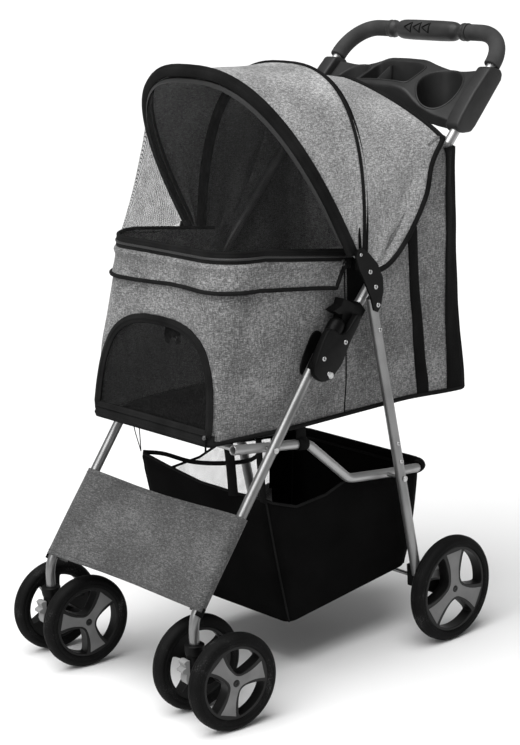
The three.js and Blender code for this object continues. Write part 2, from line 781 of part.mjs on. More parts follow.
// Plan of the cabin: parallel sides that draw in towards a square front with rounded corners.
function cabinPlan(inset) {
  const halfWidth = CABIN.halfWidth - inset;
  const frontHalf = CABIN.frontHalf - inset;
  const front = CABIN.frontY + inset;
  const radius = CABIN_CORNER;
  const shape = new THREE.Shape();
  shape.moveTo(halfWidth, 300);
  shape.lineTo(-halfWidth, 300);
  shape.lineTo(-halfWidth, -100);
  shape.lineTo(-frontHalf, front + radius);
  shape.quadraticCurveTo(-frontHalf, front, -frontHalf + radius, front);
  shape.lineTo(frontHalf - radius, front);
  shape.quadraticCurveTo(frontHalf, front, frontHalf, front + radius);
  shape.lineTo(halfWidth, -100);
  shape.closePath();
  return new THREE.ExtrudeGeometry(shape, { depth: 700, bevelEnabled: false, curveSegments: 3 })
    .translate(0, 0, 300);
}

// Arched doorway in the front wall, grown or shrunk by inset.
const DOOR = { halfWidth: 130, bottomZ: 418, springZ: 486, topZ: 575 };

function doorArch(inset) {
  const shape = new THREE.Shape();
  const half = DOOR.halfWidth - inset;
  shape.moveTo(-half, DOOR.bottomZ + inset);
  shape.lineTo(half, DOOR.bottomZ + inset);
  shape.lineTo(half, DOOR.springZ);
  shape.quadraticCurveTo(half, DOOR.topZ - inset, half * 0.45, DOOR.topZ - inset);
  shape.lineTo(-half * 0.45, DOOR.topZ - inset);
  shape.quadraticCurveTo(-half, DOOR.topZ - inset, -half, DOOR.springZ);
  const geometry = new THREE.ExtrudeGeometry(shape, {
    depth: 120,
    bevelEnabled: false,
    curveSegments: 5,
  });
  return geometry.rotateX(Math.PI / 2).translate(0, -200, 0);
}

function cabinShell() {
  const outer = common(slab(cabinProfile(0, 0), -CABIN.halfWidth, CABIN.halfWidth), cabinPlan(0));
  const inner = common(
    slab(cabinProfile(CABIN.wall, 40), -CABIN.halfWidth, CABIN.halfWidth),
    cabinPlan(CABIN.wall),
  );
  return cut(outer, inner, doorArch(0));
}

// Mesh of the front door, filling the arch inside the wall's thickness.
function doorMesh() {
  const lean = (CABIN_RIM.frontY - CABIN.frontY) / (CABIN_RIM.frontZ - CABIN.floorZ);
  const face = (z, back) => [CABIN.frontY + lean * (z - CABIN.floorZ) + back, z];
  const layer = slab([face(400, 0.8), face(400, 2.8), face(600, 2.8), face(600, 0.8)], -150, 150);
  return common(layer, doorArch(GAP));
}

// Outer cloth of the cabin side behind the seam. It leaves the floor edge and runs out over the arm.
function sidePanel(side) {
  const bottom = new THREE.LineCurve3(
    new THREE.Vector3(161, 30, 410),
    new THREE.Vector3(161, 254, 410),
  );
  const top = new THREE.CatmullRomCurve3([
    new THREE.Vector3(186, 42, 602),
    new THREE.Vector3(187.5, 66, 632),
    new THREE.Vector3(187.5, 112, 672),
    new THREE.Vector3(187.5, 153, 732),
    new THREE.Vector3(187.5, 172, 784),
    new THREE.Vector3(186, 196, 806),
    new THREE.Vector3(184, 229, 812),
  ]);
  const surface = (u, v) => {
    const point = bottom.getPoint(u).lerp(top.getPoint(u), v);
    point.x *= side;
    return point;
  };
  return sheet(surface, 9, 2, 2.5, side);
}

add('cabin_shell', cabinShell(), MATERIALS.greyFabric);
add('door_mesh', doorMesh(), MATERIALS.blackMesh);
add(
  'floor_board',
  block(-137, 137, -245, 246, CABIN.floorZ + 3.8, CABIN.floorZ + 9.8),
  MATERIALS.board,
);
for (const [name, side] of SIDES) {
  add(`side_panel_${name}`, sidePanel(side), MATERIALS.greyFabric);
}

// ---------------------------------------------------------------- basket

const BASKET = { halfWidth: 158, wall: 3 };

function basketProfile(inset, rise) {
  return [
    [-130 + inset, 92 + inset],
    [128 - inset, 125 + inset],
    [178 - inset, 276 + rise],
    [60, 276 + rise],
    [0, 262 + rise],
    [-90, 262 + rise],
    [-156 + inset, 300 + rise],
  ];
}

function basket() {
  const outer = slab(basketProfile(0, 0), -BASKET.halfWidth, BASKET.halfWidth);
  const half = BASKET.halfWidth - BASKET.wall;
  return cut(outer, slab(basketProfile(BASKET.wall, 40), -half, half));
}

add('basket', basket(), MATERIALS.blackFabric);

// ---------------------------------------------------------------- hood

// A point on a hoop that stands on both arms: t runs from the left foot over the top to the right
// foot, and grow swells the hoop outwards.
function hoopPoint(hoop, t, grow = 0) {
  const angle = Math.PI * (t - Math.sin(2 * Math.PI * t) / (2 * Math.PI));
  const power = 2 / (hoop.roundness ?? HOOD.roundness);
  const across = Math.sign(Math.cos(angle)) * Math.abs(Math.cos(angle)) ** power;
  const rise = Math.abs(Math.sin(angle)) ** power;
  const [baseY, baseZ] = hoop.base;
  const deltaY = hoop.top[0] - baseY;
  const deltaZ = hoop.top[1] - baseZ;
  const swell = 1 + grow / Math.hypot(deltaY, deltaZ);
  return new THREE.Vector3(
    across * (HOOD.halfWidth + grow),
    baseY + deltaY * rise * swell,
    baseZ + deltaZ * rise * swell,
  );
}

function hoodRib(hoop) {
  const points = [];
  const count = 18;
  for (let i = 0; i <= count; i += 1) {
    points.push(hoopPoint(hoop, i / count));
  }
  const curve = new THREE.CatmullRomCurve3(points);
  curve.steps = 20;
  return sweep(curve, HOOD.ribRadius, 0, 6);
}

// The hood's back edge: up behind each arm, then over the top.
const BACK_EDGE_SIDE = [[42, 634], [104, 676], [146, 736], [160, 786]];

function backEdge(t, grow) {
  const along = Math.min(t, 1 - t);
  const side = t < 0.5 ? 1 : -1;
  const sideShare = 0.2;
  if (along >= sideShare) {
    const inner = THREE.MathUtils.mapLinear(t, sideShare, 1 - sideShare, 0.12, 0.88);
    return hoopPoint(REAR_ARCH, inner, grow);
  }
  const start = hoopPoint(REAR_ARCH, 0.12, grow);
  const curve = new THREE.CatmullRomCurve3([
    ...BACK_EDGE_SIDE.map(([y, z]) => new THREE.Vector3(HOOD.halfWidth + grow, y, z)),
    start,
  ]);
  const point = curve.getPoint(along / sideShare);
  point.x *= side;
  return point;
}

const HOOD_START = 0.1; // share of each hoop left bare at its foot

function hoodFront() {
  const grow = HOOD.ribRadius + HOOD.lift + HOOD.cloth;
  return sheet((u, v) => {
    const t = THREE.MathUtils.lerp(HOOD_START, 1 - HOOD_START, u);
    const front = hoopPoint(FRONT_RIB, t, grow);
    return front.lerp(hoopPoint(MID_RIB, t, grow), 0.985 * v);
  }, 16, 2, HOOD.cloth, -1);
}

// The hood behind the middle rib, and the back flap that slopes from its top edge down to the
// cabin's rear wall.
function hoodRear() {
  const grow = HOOD.ribRadius + HOOD.lift + HOOD.cloth;
  const roof = sheet((u, v) => {
    const t = THREE.MathUtils.lerp(HOOD_START, 1 - HOOD_START, u);
    const mid = hoopPoint(MID_RIB, t, grow);
    const back = backEdge(THREE.MathUtils.lerp(0.02, 0.98, u), grow);
    return mid.lerp(back, 0.015 + 0.985 * v);
  }, 18, 3, HOOD.cloth, -1);
  const flap = sheet((u, v) => {
    const top = backEdge(THREE.MathUtils.lerp(0.3, 0.7, u), grow);
    const bottom = new THREE.Vector3(152 * (1 - 2 * u), 248, 808);
    const start = top.clone().add(new THREE.Vector3(0, -1.2, -0.8));
    return start.lerp(bottom, v);
  }, 12, 1, HOOD.cloth, -1);
  return join(roof, flap);
}

// Top edge of the cabin wall, from the left back corner round the front to the right one.
function rimPoint(t) {
  const angle = Math.PI * t;
  const power = 2 / 6.5;
  const across = Math.sign(Math.cos(angle)) * Math.abs(Math.cos(angle)) ** power;
  const forward = Math.abs(Math.sin(angle)) ** power;
  return new THREE.Vector3(
    across * (CABIN.halfWidth - 2),
    THREE.MathUtils.lerp(CABIN_RIM.backY, CABIN_RIM.frontY, forward),
    THREE.MathUtils.lerp(CABIN_RIM.backZ, CABIN_RIM.frontZ, forward),
  );
}

// See-through front window, from just under the front rib to just over the cabin's rim.
function windowMesh() {
  return sheet((u, v) => {
    const t = THREE.MathUtils.lerp(0.16, 0.84, u);
    const top = hoopPoint(FRONT_RIB, t);
    const bottom = rimPoint(THREE.MathUtils.lerp(0.03, 0.97, u));
    const drop = bottom.clone().sub(top);
    const length = drop.length();
    return top.addScaledVector(drop.normalize(), 5 + (length - 9) * v);
  }, 14, 2, 1.5, -1);
}

add('hood_front_rib', hoodRib(FRONT_RIB), MATERIALS.steel);
add('hood_mid_rib', hoodRib(MID_RIB), MATERIALS.steel);
add('hood_front_cloth', hoodFront(), MATERIALS.greyFabric);
add('hood_rear_cloth', hoodRear(), MATERIALS.greyFabric);
add('window_mesh', windowMesh(), MATERIALS.blackMesh);

export default stroller;
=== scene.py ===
"""Pet stroller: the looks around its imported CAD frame.

Metres, +Z up. The stroller faces -Y and its left side is +X. Places, profiles and outlines are
written in millimetres and turned into metres by mm() and in_metres().
"""

import math
from functools import partial

import bpy
from mathutils import Matrix, Vector, noise
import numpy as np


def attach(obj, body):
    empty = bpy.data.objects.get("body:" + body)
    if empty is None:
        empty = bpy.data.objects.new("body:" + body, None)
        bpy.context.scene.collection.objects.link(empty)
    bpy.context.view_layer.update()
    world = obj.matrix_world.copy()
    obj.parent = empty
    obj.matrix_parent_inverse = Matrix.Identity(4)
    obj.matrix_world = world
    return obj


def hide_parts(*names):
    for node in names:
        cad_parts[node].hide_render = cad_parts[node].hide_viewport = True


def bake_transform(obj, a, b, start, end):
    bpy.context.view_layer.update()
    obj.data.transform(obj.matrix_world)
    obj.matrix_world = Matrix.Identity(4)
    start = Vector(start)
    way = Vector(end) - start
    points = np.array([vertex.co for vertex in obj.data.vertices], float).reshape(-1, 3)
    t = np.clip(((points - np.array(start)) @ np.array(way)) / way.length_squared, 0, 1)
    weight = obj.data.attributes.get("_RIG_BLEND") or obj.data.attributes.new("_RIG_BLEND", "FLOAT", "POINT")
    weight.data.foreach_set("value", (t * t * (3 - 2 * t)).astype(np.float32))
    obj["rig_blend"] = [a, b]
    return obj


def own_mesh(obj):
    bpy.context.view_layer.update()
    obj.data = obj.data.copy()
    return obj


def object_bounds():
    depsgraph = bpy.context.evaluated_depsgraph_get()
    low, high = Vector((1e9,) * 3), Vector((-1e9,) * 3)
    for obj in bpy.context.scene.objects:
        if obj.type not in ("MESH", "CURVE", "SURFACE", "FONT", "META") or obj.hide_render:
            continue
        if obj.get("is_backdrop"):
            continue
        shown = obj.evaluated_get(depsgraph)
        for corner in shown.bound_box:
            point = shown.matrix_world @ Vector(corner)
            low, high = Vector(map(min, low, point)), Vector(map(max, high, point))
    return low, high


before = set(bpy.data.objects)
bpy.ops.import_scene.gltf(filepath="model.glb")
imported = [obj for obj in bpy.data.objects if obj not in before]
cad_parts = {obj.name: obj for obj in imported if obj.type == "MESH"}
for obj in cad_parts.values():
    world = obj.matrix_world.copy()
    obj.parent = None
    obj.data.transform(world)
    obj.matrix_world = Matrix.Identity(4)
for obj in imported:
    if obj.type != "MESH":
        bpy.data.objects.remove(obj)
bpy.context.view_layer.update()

SIDES = (("left", 1), ("right", -1))
ALONG_X = Vector((1, 0, 0))


def mm(x, y, z):
    return Vector((x, y, z)) / 1000


def in_metres(pairs, scale=1.0):
    return [(a * scale / 1000, b * scale / 1000) for a, b in pairs]


def lerp(a, b, t):
    return a + (b - a) * t


def smoothstep(low, high, value):
    t = min(max((value - low) / (high - low), 0), 1)
    return t * t * (3 - 2 * t)


def table(points, value):
    """Reads a list of (value, result) pairs, with straight lines between neighbours."""
    if value <= points[0][0]:
        return points[0][1]
    for (v0, r0), (v1, r1) in zip(points, points[1:]):
        if value <= v1:
            return lerp(r0, r1, (value - v0) / (v1 - v0))
    return points[-1][1]


def spline(points, t):
    """A point at t, from 0 to 1, on a Catmull-Rom curve through the points."""
    spans = len(points) - 1
    place = min(max(t, 0), 1) * spans
    i = min(int(place), spans - 1)
    f = place - i
    p1, p2 = points[i], points[i + 1]
    p0 = points[i - 1] if i > 0 else p1 * 2 - p2
    p3 = points[i + 2] if i + 2 <= spans else p2 * 2 - p1
    return 0.5 * (
        p1 * 2
        + (p2 - p0) * f
        + (p0 * 2 - p1 * 5 + p2 * 4 - p3) * f * f
        + (p1 * 3 - p0 - p2 * 3 + p3) * f ** 3
    )


def sampled(function, count):
    return [function(i / count) for i in range(count + 1)]


def smooth_line(points, count):
    return sampled(lambda t: spline(points, t), count)


def squarish(angle, roundness):
    """A point on a unit superellipse. Roundness 2 is a circle, and more is squarer."""
    power = 2 / roundness
    return [math.copysign(abs(s) ** power, s) for s in (math.cos(angle), math.sin(angle))]


# ---------------------------------------------------------------- camera, floor and light

CAMERA_PLACE = mm(2228.8, -2072.5, 1196.9)
CAMERA_AZIMUTH = math.radians(47.59)
CAMERA_ELEVATION = math.radians(13.81)
CAMERA_ROLL = math.radians(-1.1)
CAMERA_LENS = 93.78
SKY_STRENGTH = 0.3
SUN_STRENGTH = 3.9
SUN_SPREAD = math.radians(60)
SUN_DIRECTION = Vector((-0.05, 0.42, -1))
FRONT_BOX_PLACE = mm(300, -2600, 1500)
FRONT_BOX_SIZE = 1.6
FRONT_BOX_WATTS = 20
FLOOR_HALF = 30
FLOOR_TONE = 0.8


def make_camera():
    """Looks at the stroller from its front left, a little above it."""
    back = Vector((
        math.sin(CAMERA_AZIMUTH) * math.cos(CAMERA_ELEVATION),
        -math.cos(CAMERA_AZIMUTH) * math.cos(CAMERA_ELEVATION),
        math.sin(CAMERA_ELEVATION),
    ))
    right = Vector((math.cos(CAMERA_AZIMUTH), math.sin(CAMERA_AZIMUTH), 0))
    up = back.cross(right)
    cos_roll, sin_roll = math.cos(CAMERA_ROLL), math.sin(CAMERA_ROLL)
    rolled_right = right * cos_roll + up * sin_roll
    rolled_up = up * cos_roll - right * sin_roll
    data = bpy.data.cameras.new("camera")
    data.lens = CAMERA_LENS
    data.sensor_width = 36
    camera = bpy.data.objects.new("camera", data)
    bpy.context.collection.objects.link(camera)
    turn = Matrix((rolled_right, rolled_up, back)).transposed()
    camera.matrix_world = Matrix.Translation(CAMERA_PLACE) @ turn.to_4x4()
    bpy.context.scene.camera = camera


def add_light(name, kind, strength, direction):
    data = bpy.data.lights.new(name, kind)
    data.energy = strength
    light = bpy.data.objects.new(name, data)
    bpy.context.collection.objects.link(light)
    light.rotation_euler = direction.to_track_quat("-Z", "Y").to_euler()
    return light


def make_studio():
    """A pale floor under a soft sky, with one large soft light in front."""
    world = bpy.data.worlds.new("studio")
    world.use_nodes = True
    background = world.node_tree.nodes["Background"]
    background.inputs["Color"].default_value = (1, 1, 1, 1)
    background.inputs["Strength"].default_value = SKY_STRENGTH
    bpy.context.scene.world = world
    overhead = add_light("overhead", "SUN", SUN_STRENGTH, SUN_DIRECTION)
    overhead.data.angle = SUN_SPREAD
    front_box = add_light("front_box", "AREA", FRONT_BOX_WATTS, mm(0, 0, 500) - FRONT_BOX_PLACE)
    front_box.data.shape = "RECTANGLE"
    front_box.data.size = FRONT_BOX_SIZE
    front_box.data.size_y = FRONT_BOX_SIZE
    front_box.location = FRONT_BOX_PLACE
    mesh = bpy.data.meshes.new("floor")
    corners = [(x * FLOOR_HALF, y * FLOOR_HALF, 0) for x, y in ((-1, -1), (1, -1), (1, 1), (-1, 1))]
    mesh.from_pydata(corners, [], [(0, 1, 2, 3)])
    floor = bpy.data.objects.new("floor", mesh)
    bpy.context.collection.objects.link(floor)
    material = bpy.data.materials.new("floor_paper")
    material.use_nodes = True
    shader = material.node_tree.nodes["Principled BSDF"]
    shader.inputs["Base Color"].default_value = (FLOOR_TONE, FLOOR_TONE, FLOOR_TONE, 1)
    shader.inputs["Roughness"].default_value = 0.9
    shader.inputs["Specular IOR Level"].default_value = 0.1
    mesh.materials.append(material)
    floor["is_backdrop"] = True
    bpy.context.scene.view_settings.view_transform = "Standard"


make_camera()
make_studio()

# ---------------------------------------------------------------- materials


def srgb(value):
    """A linear colour from an sRGB grey, 0 to 255."""
    c = value / 255
    tone = c / 12.92 if c <= 0.04045 else ((c + 0.055) / 1.055) ** 2.4
    return (tone, tone, tone, 1)


class Nodes:
    """A small helper for building one material's node tree."""

    def __init__(self, name, roughness, metallic=0.0, specular=0.5):
        self.material = bpy.data.materials.new(name)
        self.material.use_nodes = True
        self.tree = self.material.node_tree
        self.shader = self.tree.nodes["Principled BSDF"]
        self.shader.inputs["Roughness"].default_value = roughness
        self.shader.inputs["Metallic"].default_value = metallic
        self.shader.inputs["Specular IOR Level"].default_value = specular
        self.place = self.new("ShaderNodeTexCoord").outputs["Object"]

    def new(self, kind, **settings):
        node = self.tree.nodes.new(kind)
        for key, value in settings.items():
            setattr(node, key, value)
        return node

    def link(self, source, target):
        self.tree.links.new(source, target)

    def noise(self, scale, detail=2.0, stretch=(1, 1, 1), roughness=0.5):
        mapping = self.new("ShaderNodeMapping")
        mapping.inputs["Scale"].default_value = stretch
        self.link(self.place, mapping.inputs["Vector"])
        node = self.new("ShaderNodeTexNoise")
        node.inputs["Scale"].default_value = scale
        node.inputs["Detail"].default_value = detail
        node.inputs["Roughness"].default_value = roughness
        self.link(mapping.outputs["Vector"], node.inputs["Vector"])
        return node.outputs["Fac"]

    def math(self, operation, a, b=None):
        node = self.new("ShaderNodeMath", operation=operation)
        for socket, value in zip(node.inputs, (a, b)):
            if isinstance(value, (int, float)):
                socket.default_value = value
            elif value is not None:
                self.link(value, socket)
        return node.outputs[0]

    def weighted(self, *parts):
        """Adds up (value, share) pairs, each value multiplied by its share."""
        total = None
        for value, share in parts:
            term = self.math("MULTIPLY", value, share)
            total = term if total is None else self.math("ADD", total, term)
        return total

    def ramp(self, value, stops):
        node = self.new("ShaderNodeValToRGB")
        elements = node.color_ramp.elements
        while len(elements) < len(stops):
            elements.new(0.5)
        for element, (position, tone) in zip(elements, stops):
            element.position = position
            element.color = srgb(tone)
        self.link(value, node.inputs["Fac"])
        self.link(node.outputs["Color"], self.shader.inputs["Base Color"])

    def bump(self, height, strength, distance):
        node = self.new("ShaderNodeBump")
        node.inputs["Strength"].default_value = strength
        node.inputs["Distance"].default_value = distance
        self.link(height, node.inputs["Height"])
        self.link(node.outputs["Normal"], self.shader.inputs["Normal"])

    def rough_between(self, value, low, high):
        node = self.new("ShaderNodeMapRange")
        node.inputs["To Min"].default_value = low
        node.inputs["To Max"].default_value = high
        self.link(value, node.inputs["Value"])
        self.link(node.outputs["Result"], self.shader.inputs["Roughness"])


def melange(name, dark, middle, light):
    """Grey melange canvas: flecked yarns in both directions over broad cloudy patches."""
    n = Nodes(name, roughness=0.92, specular=0.25)
    weft = n.noise(150, 3, (1, 1, 4.5), 0.65)
    warp = n.noise(160, 3, (3.5, 3.5, 0.8), 0.65)
    fleck = n.noise(480, 2, (1, 1, 1.5), 0.6)
    cloud = n.noise(14)
    yarns = n.weighted((weft, 0.42), (warp, 0.33), (fleck, 0.25))
    tone = n.math("ADD", yarns, n.math("MULTIPLY", n.math("SUBTRACT", cloud, 0.5), 0.16))
    n.ramp(tone, [(0.38, dark), (0.5, middle), (0.62, light)])
    n.bump(yarns, 0.35, 0.0006)
    n.shader.inputs["Sheen Weight"].default_value = 0.12
    n.shader.inputs["Sheen Roughness"].default_value = 0.5
    return n.material


def plain_weave(name, dark, light, bump=0.3, roughness=0.85):
    """Close plain weave in one colour, used for linings, webbing, binding and the basket."""
    n = Nodes(name, roughness=roughness, specular=0.03)
    threads = n.noise(1100, 2, (1, 1, 2.2), 0.6)
    n.ramp(n.weighted((threads, 0.6), (n.noise(22), 0.4)), [(0.35, dark), (0.65, light)])
    n.bump(threads, bump, 0.0005)
    n.shader.inputs["Sheen Weight"].default_value = 0.006
    return n.material


def open_mesh(name, tone, hole, open_share):
    """Knitted net: a thread grid with real holes between the threads."""
    n = Nodes(name, roughness=0.8, specular=0.1)
    parts = n.new("ShaderNodeSeparateXYZ")
    n.link(n.place, parts.inputs["Vector"])
    turn = 2 * math.pi / hole
    across = n.math("ADD", parts.outputs["X"], n.math("MULTIPLY", parts.outputs["Y"], 0.83))
    columns = n.math("SINE", n.math("MULTIPLY", across, turn))
    rows = n.math("SINE", n.math("MULTIPLY", parts.outputs["Z"], turn * 1.15))
    lattice = n.math("MULTIPLY", columns, rows)
    slack = n.math("MULTIPLY", n.math("SUBTRACT", n.noise(60), 0.5), 0.35)
    openness = n.math("ADD", n.math("ABSOLUTE", lattice), slack)
    solid = n.math("LESS_THAN", openness, 1 - open_share)
    n.link(solid, n.shader.inputs["Alpha"])
    n.ramp(n.noise(400), [(0.4, tone), (0.7, tone + 26)])
    return n.material


def moulded(name, dark, light, roughness, grain=900, bump=0.15, specular=0.5):
    """Injection-moulded plastic with a fine spark-eroded grain."""
    n = Nodes(name, roughness=roughness, specular=specular)
    n.ramp(n.noise(30, 3), [(0.35, dark), (0.7, light)])
    n.rough_between(n.noise(55, 3), roughness - 0.07, roughness + 0.1)
    n.bump(n.noise(grain, 3), bump, 0.0003)
    return n.material


def painted_metal(name, dark, light, roughness):
    """Silver-grey powder coat: fine metallic fleck and a slight orange peel."""
    n = Nodes(name, roughness=roughness, metallic=0.75)
    tone = n.weighted((n.noise(1800), 0.4), (n.noise(18), 0.6))
    n.ramp(tone, [(0.38, dark), (0.62, light)])
    n.rough_between(n.noise(70, 3), roughness - 0.06, roughness + 0.08)
    n.bump(n.noise(420), 0.08, 0.0003)
    return n.material


def bare_steel(name, dark, light, roughness):
    n = Nodes(name, roughness=roughness, metallic=1.0)
    scratch = n.noise(260, 4, (6, 1, 1), 0.7)
    n.ramp(scratch, [(0.35, dark), (0.7, light)])
    n.rough_between(scratch, roughness - 0.08, roughness + 0.12)
    return n.material


def tyre_rubber(name):
    """Foamed EVA tyre: black skin with pale specks, spread evenly over skin and tread alike, though on the
    real tyre they show most on the worn tread.
    """
    n = Nodes(name, roughness=0.66, specular=0.1)
    speck = n.noise(520, 4, roughness=0.8)
    tone = n.weighted((speck, 0.62), (n.noise(34, 3), 0.38))
    n.ramp(tone, [(0.44, 6), (0.58, 12), (0.68, 70)])
    n.bump(speck, 0.35, 0.0008)
    return n.material


def foam_grip(name):
    n = Nodes(name, roughness=0.88, specular=0.15)
    n.ramp(n.noise(26, 3), [(0.35, 50), (0.7, 64)])
    n.bump(n.noise(1300, 3, roughness=0.7), 0.3, 0.0006)
    return n.material


def zip_tape(name):
    """Coil zip: a row of fine teeth along its length over black tape."""
    n = Nodes(name, roughness=0.55)
    teeth = n.noise(900, 1)
    n.ramp(teeth, [(0.4, 14), (0.7, 40)])
    n.bump(teeth, 0.5, 0.0008)
    return n.material


LOOK = {
    # The canopy and the bag share one grey cloth, in two copies that differ only by painted light: the
    # canopy's copy is lighter for its lit top, and the bag's is darker as painted shade on its sides.
    "grey_fabric": melange("melange_grey", 84, 136, 194),
    "bag_fabric_painted_shade": melange("melange_grey_painted_shade", 56, 96, 150),
    "grey_lining": melange("melange_grey_inside", 88, 134, 180),
    "black_fabric": plain_weave("black_canvas", 4, 12),
    "binding": plain_weave("black_binding", 14, 32, bump=0.5, roughness=0.75),
    "webbing": plain_weave("black_webbing", 8, 22, bump=0.6, roughness=0.7),
    "black_mesh": open_mesh("net_window", 10, 0.003, 0.7),
    "door_mesh": open_mesh("net_door", 10, 0.003, 0.62),
    # The frame is one silver paint. rail_tube is its copy drawn lighter, as painted light, for the brighter
    # light on the rail, front bar and handle tube.
    "painted_tube": painted_metal("silver_powder_coat", 112, 134, 0.32),
    "rail_tube": painted_metal("silver_powder_coat_painted_light", 150, 172, 0.38),
    "steel": bare_steel("plated_steel", 150, 205, 0.28),
    "black_plastic": moulded("black_plastic", 5, 12, 0.45, specular=0.1),
    "tray_plastic": moulded("tray_plastic", 30, 40, 0.45, grain=700, bump=0.3, specular=0.25),
    "grip_plastic": moulded("grip_plastic", 36, 48, 0.45, grain=500, bump=0.25, specular=0.3),
    "lever_plastic": moulded("lever_plastic", 118, 134, 0.48),
    "wheel_plastic": moulded("spider_plastic", 88, 104, 0.42),
    "rim_plastic": moulded("rim_plastic", 6, 14, 0.42, specular=0.25),
    "foam": foam_grip("handle_foam"),
    "tyre": tyre_rubber("eva_tyre"),
    "zip": zip_tape("zip_coil"),
    "floor_board": plain_weave("floor_cloth", 8, 24),
    "panel_fabric": melange("melange_panel", 42, 66, 102),
    "pale_net": open_mesh("net_basket", 150, 0.0035, 0.72),
    "thread": plain_weave("stitch_thread", 60, 92),
    "black_metal": moulded("black_metal", 26, 60, 0.3),
}
# The slot of each look whose slot doesn't have the same name.
SLOT = {
    "bag_fabric_painted_shade": "grey_fabric",
    "panel_fabric": "grey_fabric",
    "thread": "grey_fabric",
    "binding": "black_fabric",
    "webbing": "black_fabric",
    "zip": "black_fabric",
    "door_mesh": "black_mesh",
    "rim_plastic": "wheel_plastic",
    "black_metal": "steel",
}

# ---------------------------------------------------------------- mesh helpers


def add_object(name, mesh, look=None, slot=None):
    """A smooth piece with its look's material. The slot it works out from slot and look is not used."""
    obj = bpy.data.objects.new(name, mesh)
    bpy.context.collection.objects.link(obj)
    for polygon in mesh.polygons:
        polygon.use_smooth = True
    if look:
        mesh.materials.append(LOOK[look])
        slot = slot or SLOT.get(look, look)
    return obj


def mesh_from(name, points, faces):
    mesh = bpy.data.meshes.new(name)
    mesh.from_pydata([tuple(p) for p in points], [], faces)
    mesh.update()
    return mesh


def grid_faces(rows, columns, closed=False):
    """Quads for points laid out row by row. closed joins each row's end to its start."""
    faces = []
    spans = columns if closed else columns - 1
    for j in range(rows - 1):
        for i in range(spans):
            k = (i + 1) % columns
            faces.append((j * columns + i, j * columns + k,
                          (j + 1) * columns + k, (j + 1) * columns + i))
    return faces


def closing_faces(rows, columns):
    """Quads that join the last row back to the first."""
    last = (rows - 1) * columns
    pairs = [(i, (i + 1) % columns) for i in range(columns)]
    return [(last + i, last + k, k, i) for i, k in pairs]


def surface(name, function, count_u, count_v, look, closed=False, keep=None, flip=False):
    """A sheet of quads from function(u, v). keep(middle) leaves out the faces it is false for,
    and flip turns the sheet's outer side round."""
    columns = count_u if closed else count_u + 1
    points = [
        function(i / count_u, j / count_v)
        for j in range(count_v + 1)
        for i in range(columns)
    ]
    faces = grid_faces(count_v + 1, columns, closed)
    if keep:
        def middle(face):
            return sum((points[i] for i in face), Vector()) / len(face)
        faces = [face for face in faces if keep(middle(face))]
    if flip:
        faces = [face[::-1] for face in faces]
    return add_object(name, mesh_from(name, points, faces), look)


def thicken(obj, thickness, offset=0.0, inner_look=None):
    """Gives a sheet real thickness. offset 1 grows it outwards, -1 inwards."""
    modifier = obj.modifiers.new("thickness", "SOLIDIFY")
    modifier.thickness = thickness
    modifier.offset = offset
    if inner_look:
        obj.data.materials.append(LOOK[inner_look])
        modifier.material_offset = 1
    return obj


def apply_modifiers(obj):
    graph = bpy.context.evaluated_depsgraph_get()
    mesh = bpy.data.meshes.new_from_object(obj.evaluated_get(graph))
    obj.modifiers.clear()
    obj.data = mesh
    return obj


def frames_along(points, closed=False):
    """Tangents and steadily carried normals along a line of points."""
    count = len(points)
    tangents = []
    for i in range(count):
        if closed:
            tangent = points[(i + 1) % count] - points[i - 1]
        else:
            tangent = points[min(i + 1, count - 1)] - points[max(i - 1, 0)]
        tangents.append(tangent.normalized())
    start = Vector((0, 0, 1)) if abs(tangents[0].z) < 0.9 else ALONG_X
    normal = (start - tangents[0] * start.dot(tangents[0])).normalized()
    normals = [normal]
    for tangent in tangents[1:]:
        normal = (normal - tangent * normal.dot(tangent)).normalized()
        normals.append(normal)
    return tangents, normals


def swept(name, points, section, look, closed=False, up=None, slot=None):
    """Sweeps a closed section of (across, out) pairs along points. up(i) gives the out direction
    at a point, and without it the section is carried along with no twist."""
    tangents, normals = frames_along(points, closed)
    ring = len(section)
    verts = []
    for i, point in enumerate(points):
        out = up(i) if up else normals[i]
        out = (out - tangents[i] * out.dot(tangents[i])).normalized()
        across = tangents[i].cross(out)
        verts.extend(point + across * a + out * o for a, o in section)
    faces = grid_faces(len(points), ring, True)
    if closed:
        faces += closing_faces(len(points), ring)
    else:
        faces.append(tuple(reversed(range(ring))))
        faces.append(tuple(range((len(points) - 1) * ring, len(points) * ring)))
    return add_object(name, mesh_from(name, verts, faces), look, slot)


def cord_piece(name, points, radius, look="binding", closed=False, count=10, flat=1.0, slot=None):
    """A round cord along points. flat below 1 presses it towards an oval."""
    turn = 2 * math.pi / count
    section = [(radius * math.cos(i * turn), radius * flat * math.sin(i * turn))
               for i in range(count)]
    return swept(name, points, section, look, closed, slot=slot)


def tape_section(width, thickness, scale=1.0):
    """A flat strap with rounded edges, standing on the surface it is sewn to."""
    w, t = width / 2, thickness
    section = [(-w, 0), (w, 0), (w, t * 0.6), (w - t * 0.5, t), (-w + t * 0.5, t), (-w, t * 0.6)]
    return in_metres(section, scale)


def turned(name, profile, place, axis, count, look):
    """Turns a closed ring profile of (radius, along) pairs about an axis through place."""
    axis = axis.normalized()
    side = axis.orthogonal().normalized()
    other = axis.cross(side)
    points = []
    for i in range(count):
        angle = 2 * math.pi * i / count
        out = side * math.cos(angle) + other * math.sin(angle)
        points.extend(place + out * r + axis * h for r, h in profile)
    faces = grid_faces(count, len(profile), True) + closing_faces(count, len(profile))
    return add_object(name, mesh_from(name, points, faces), look)


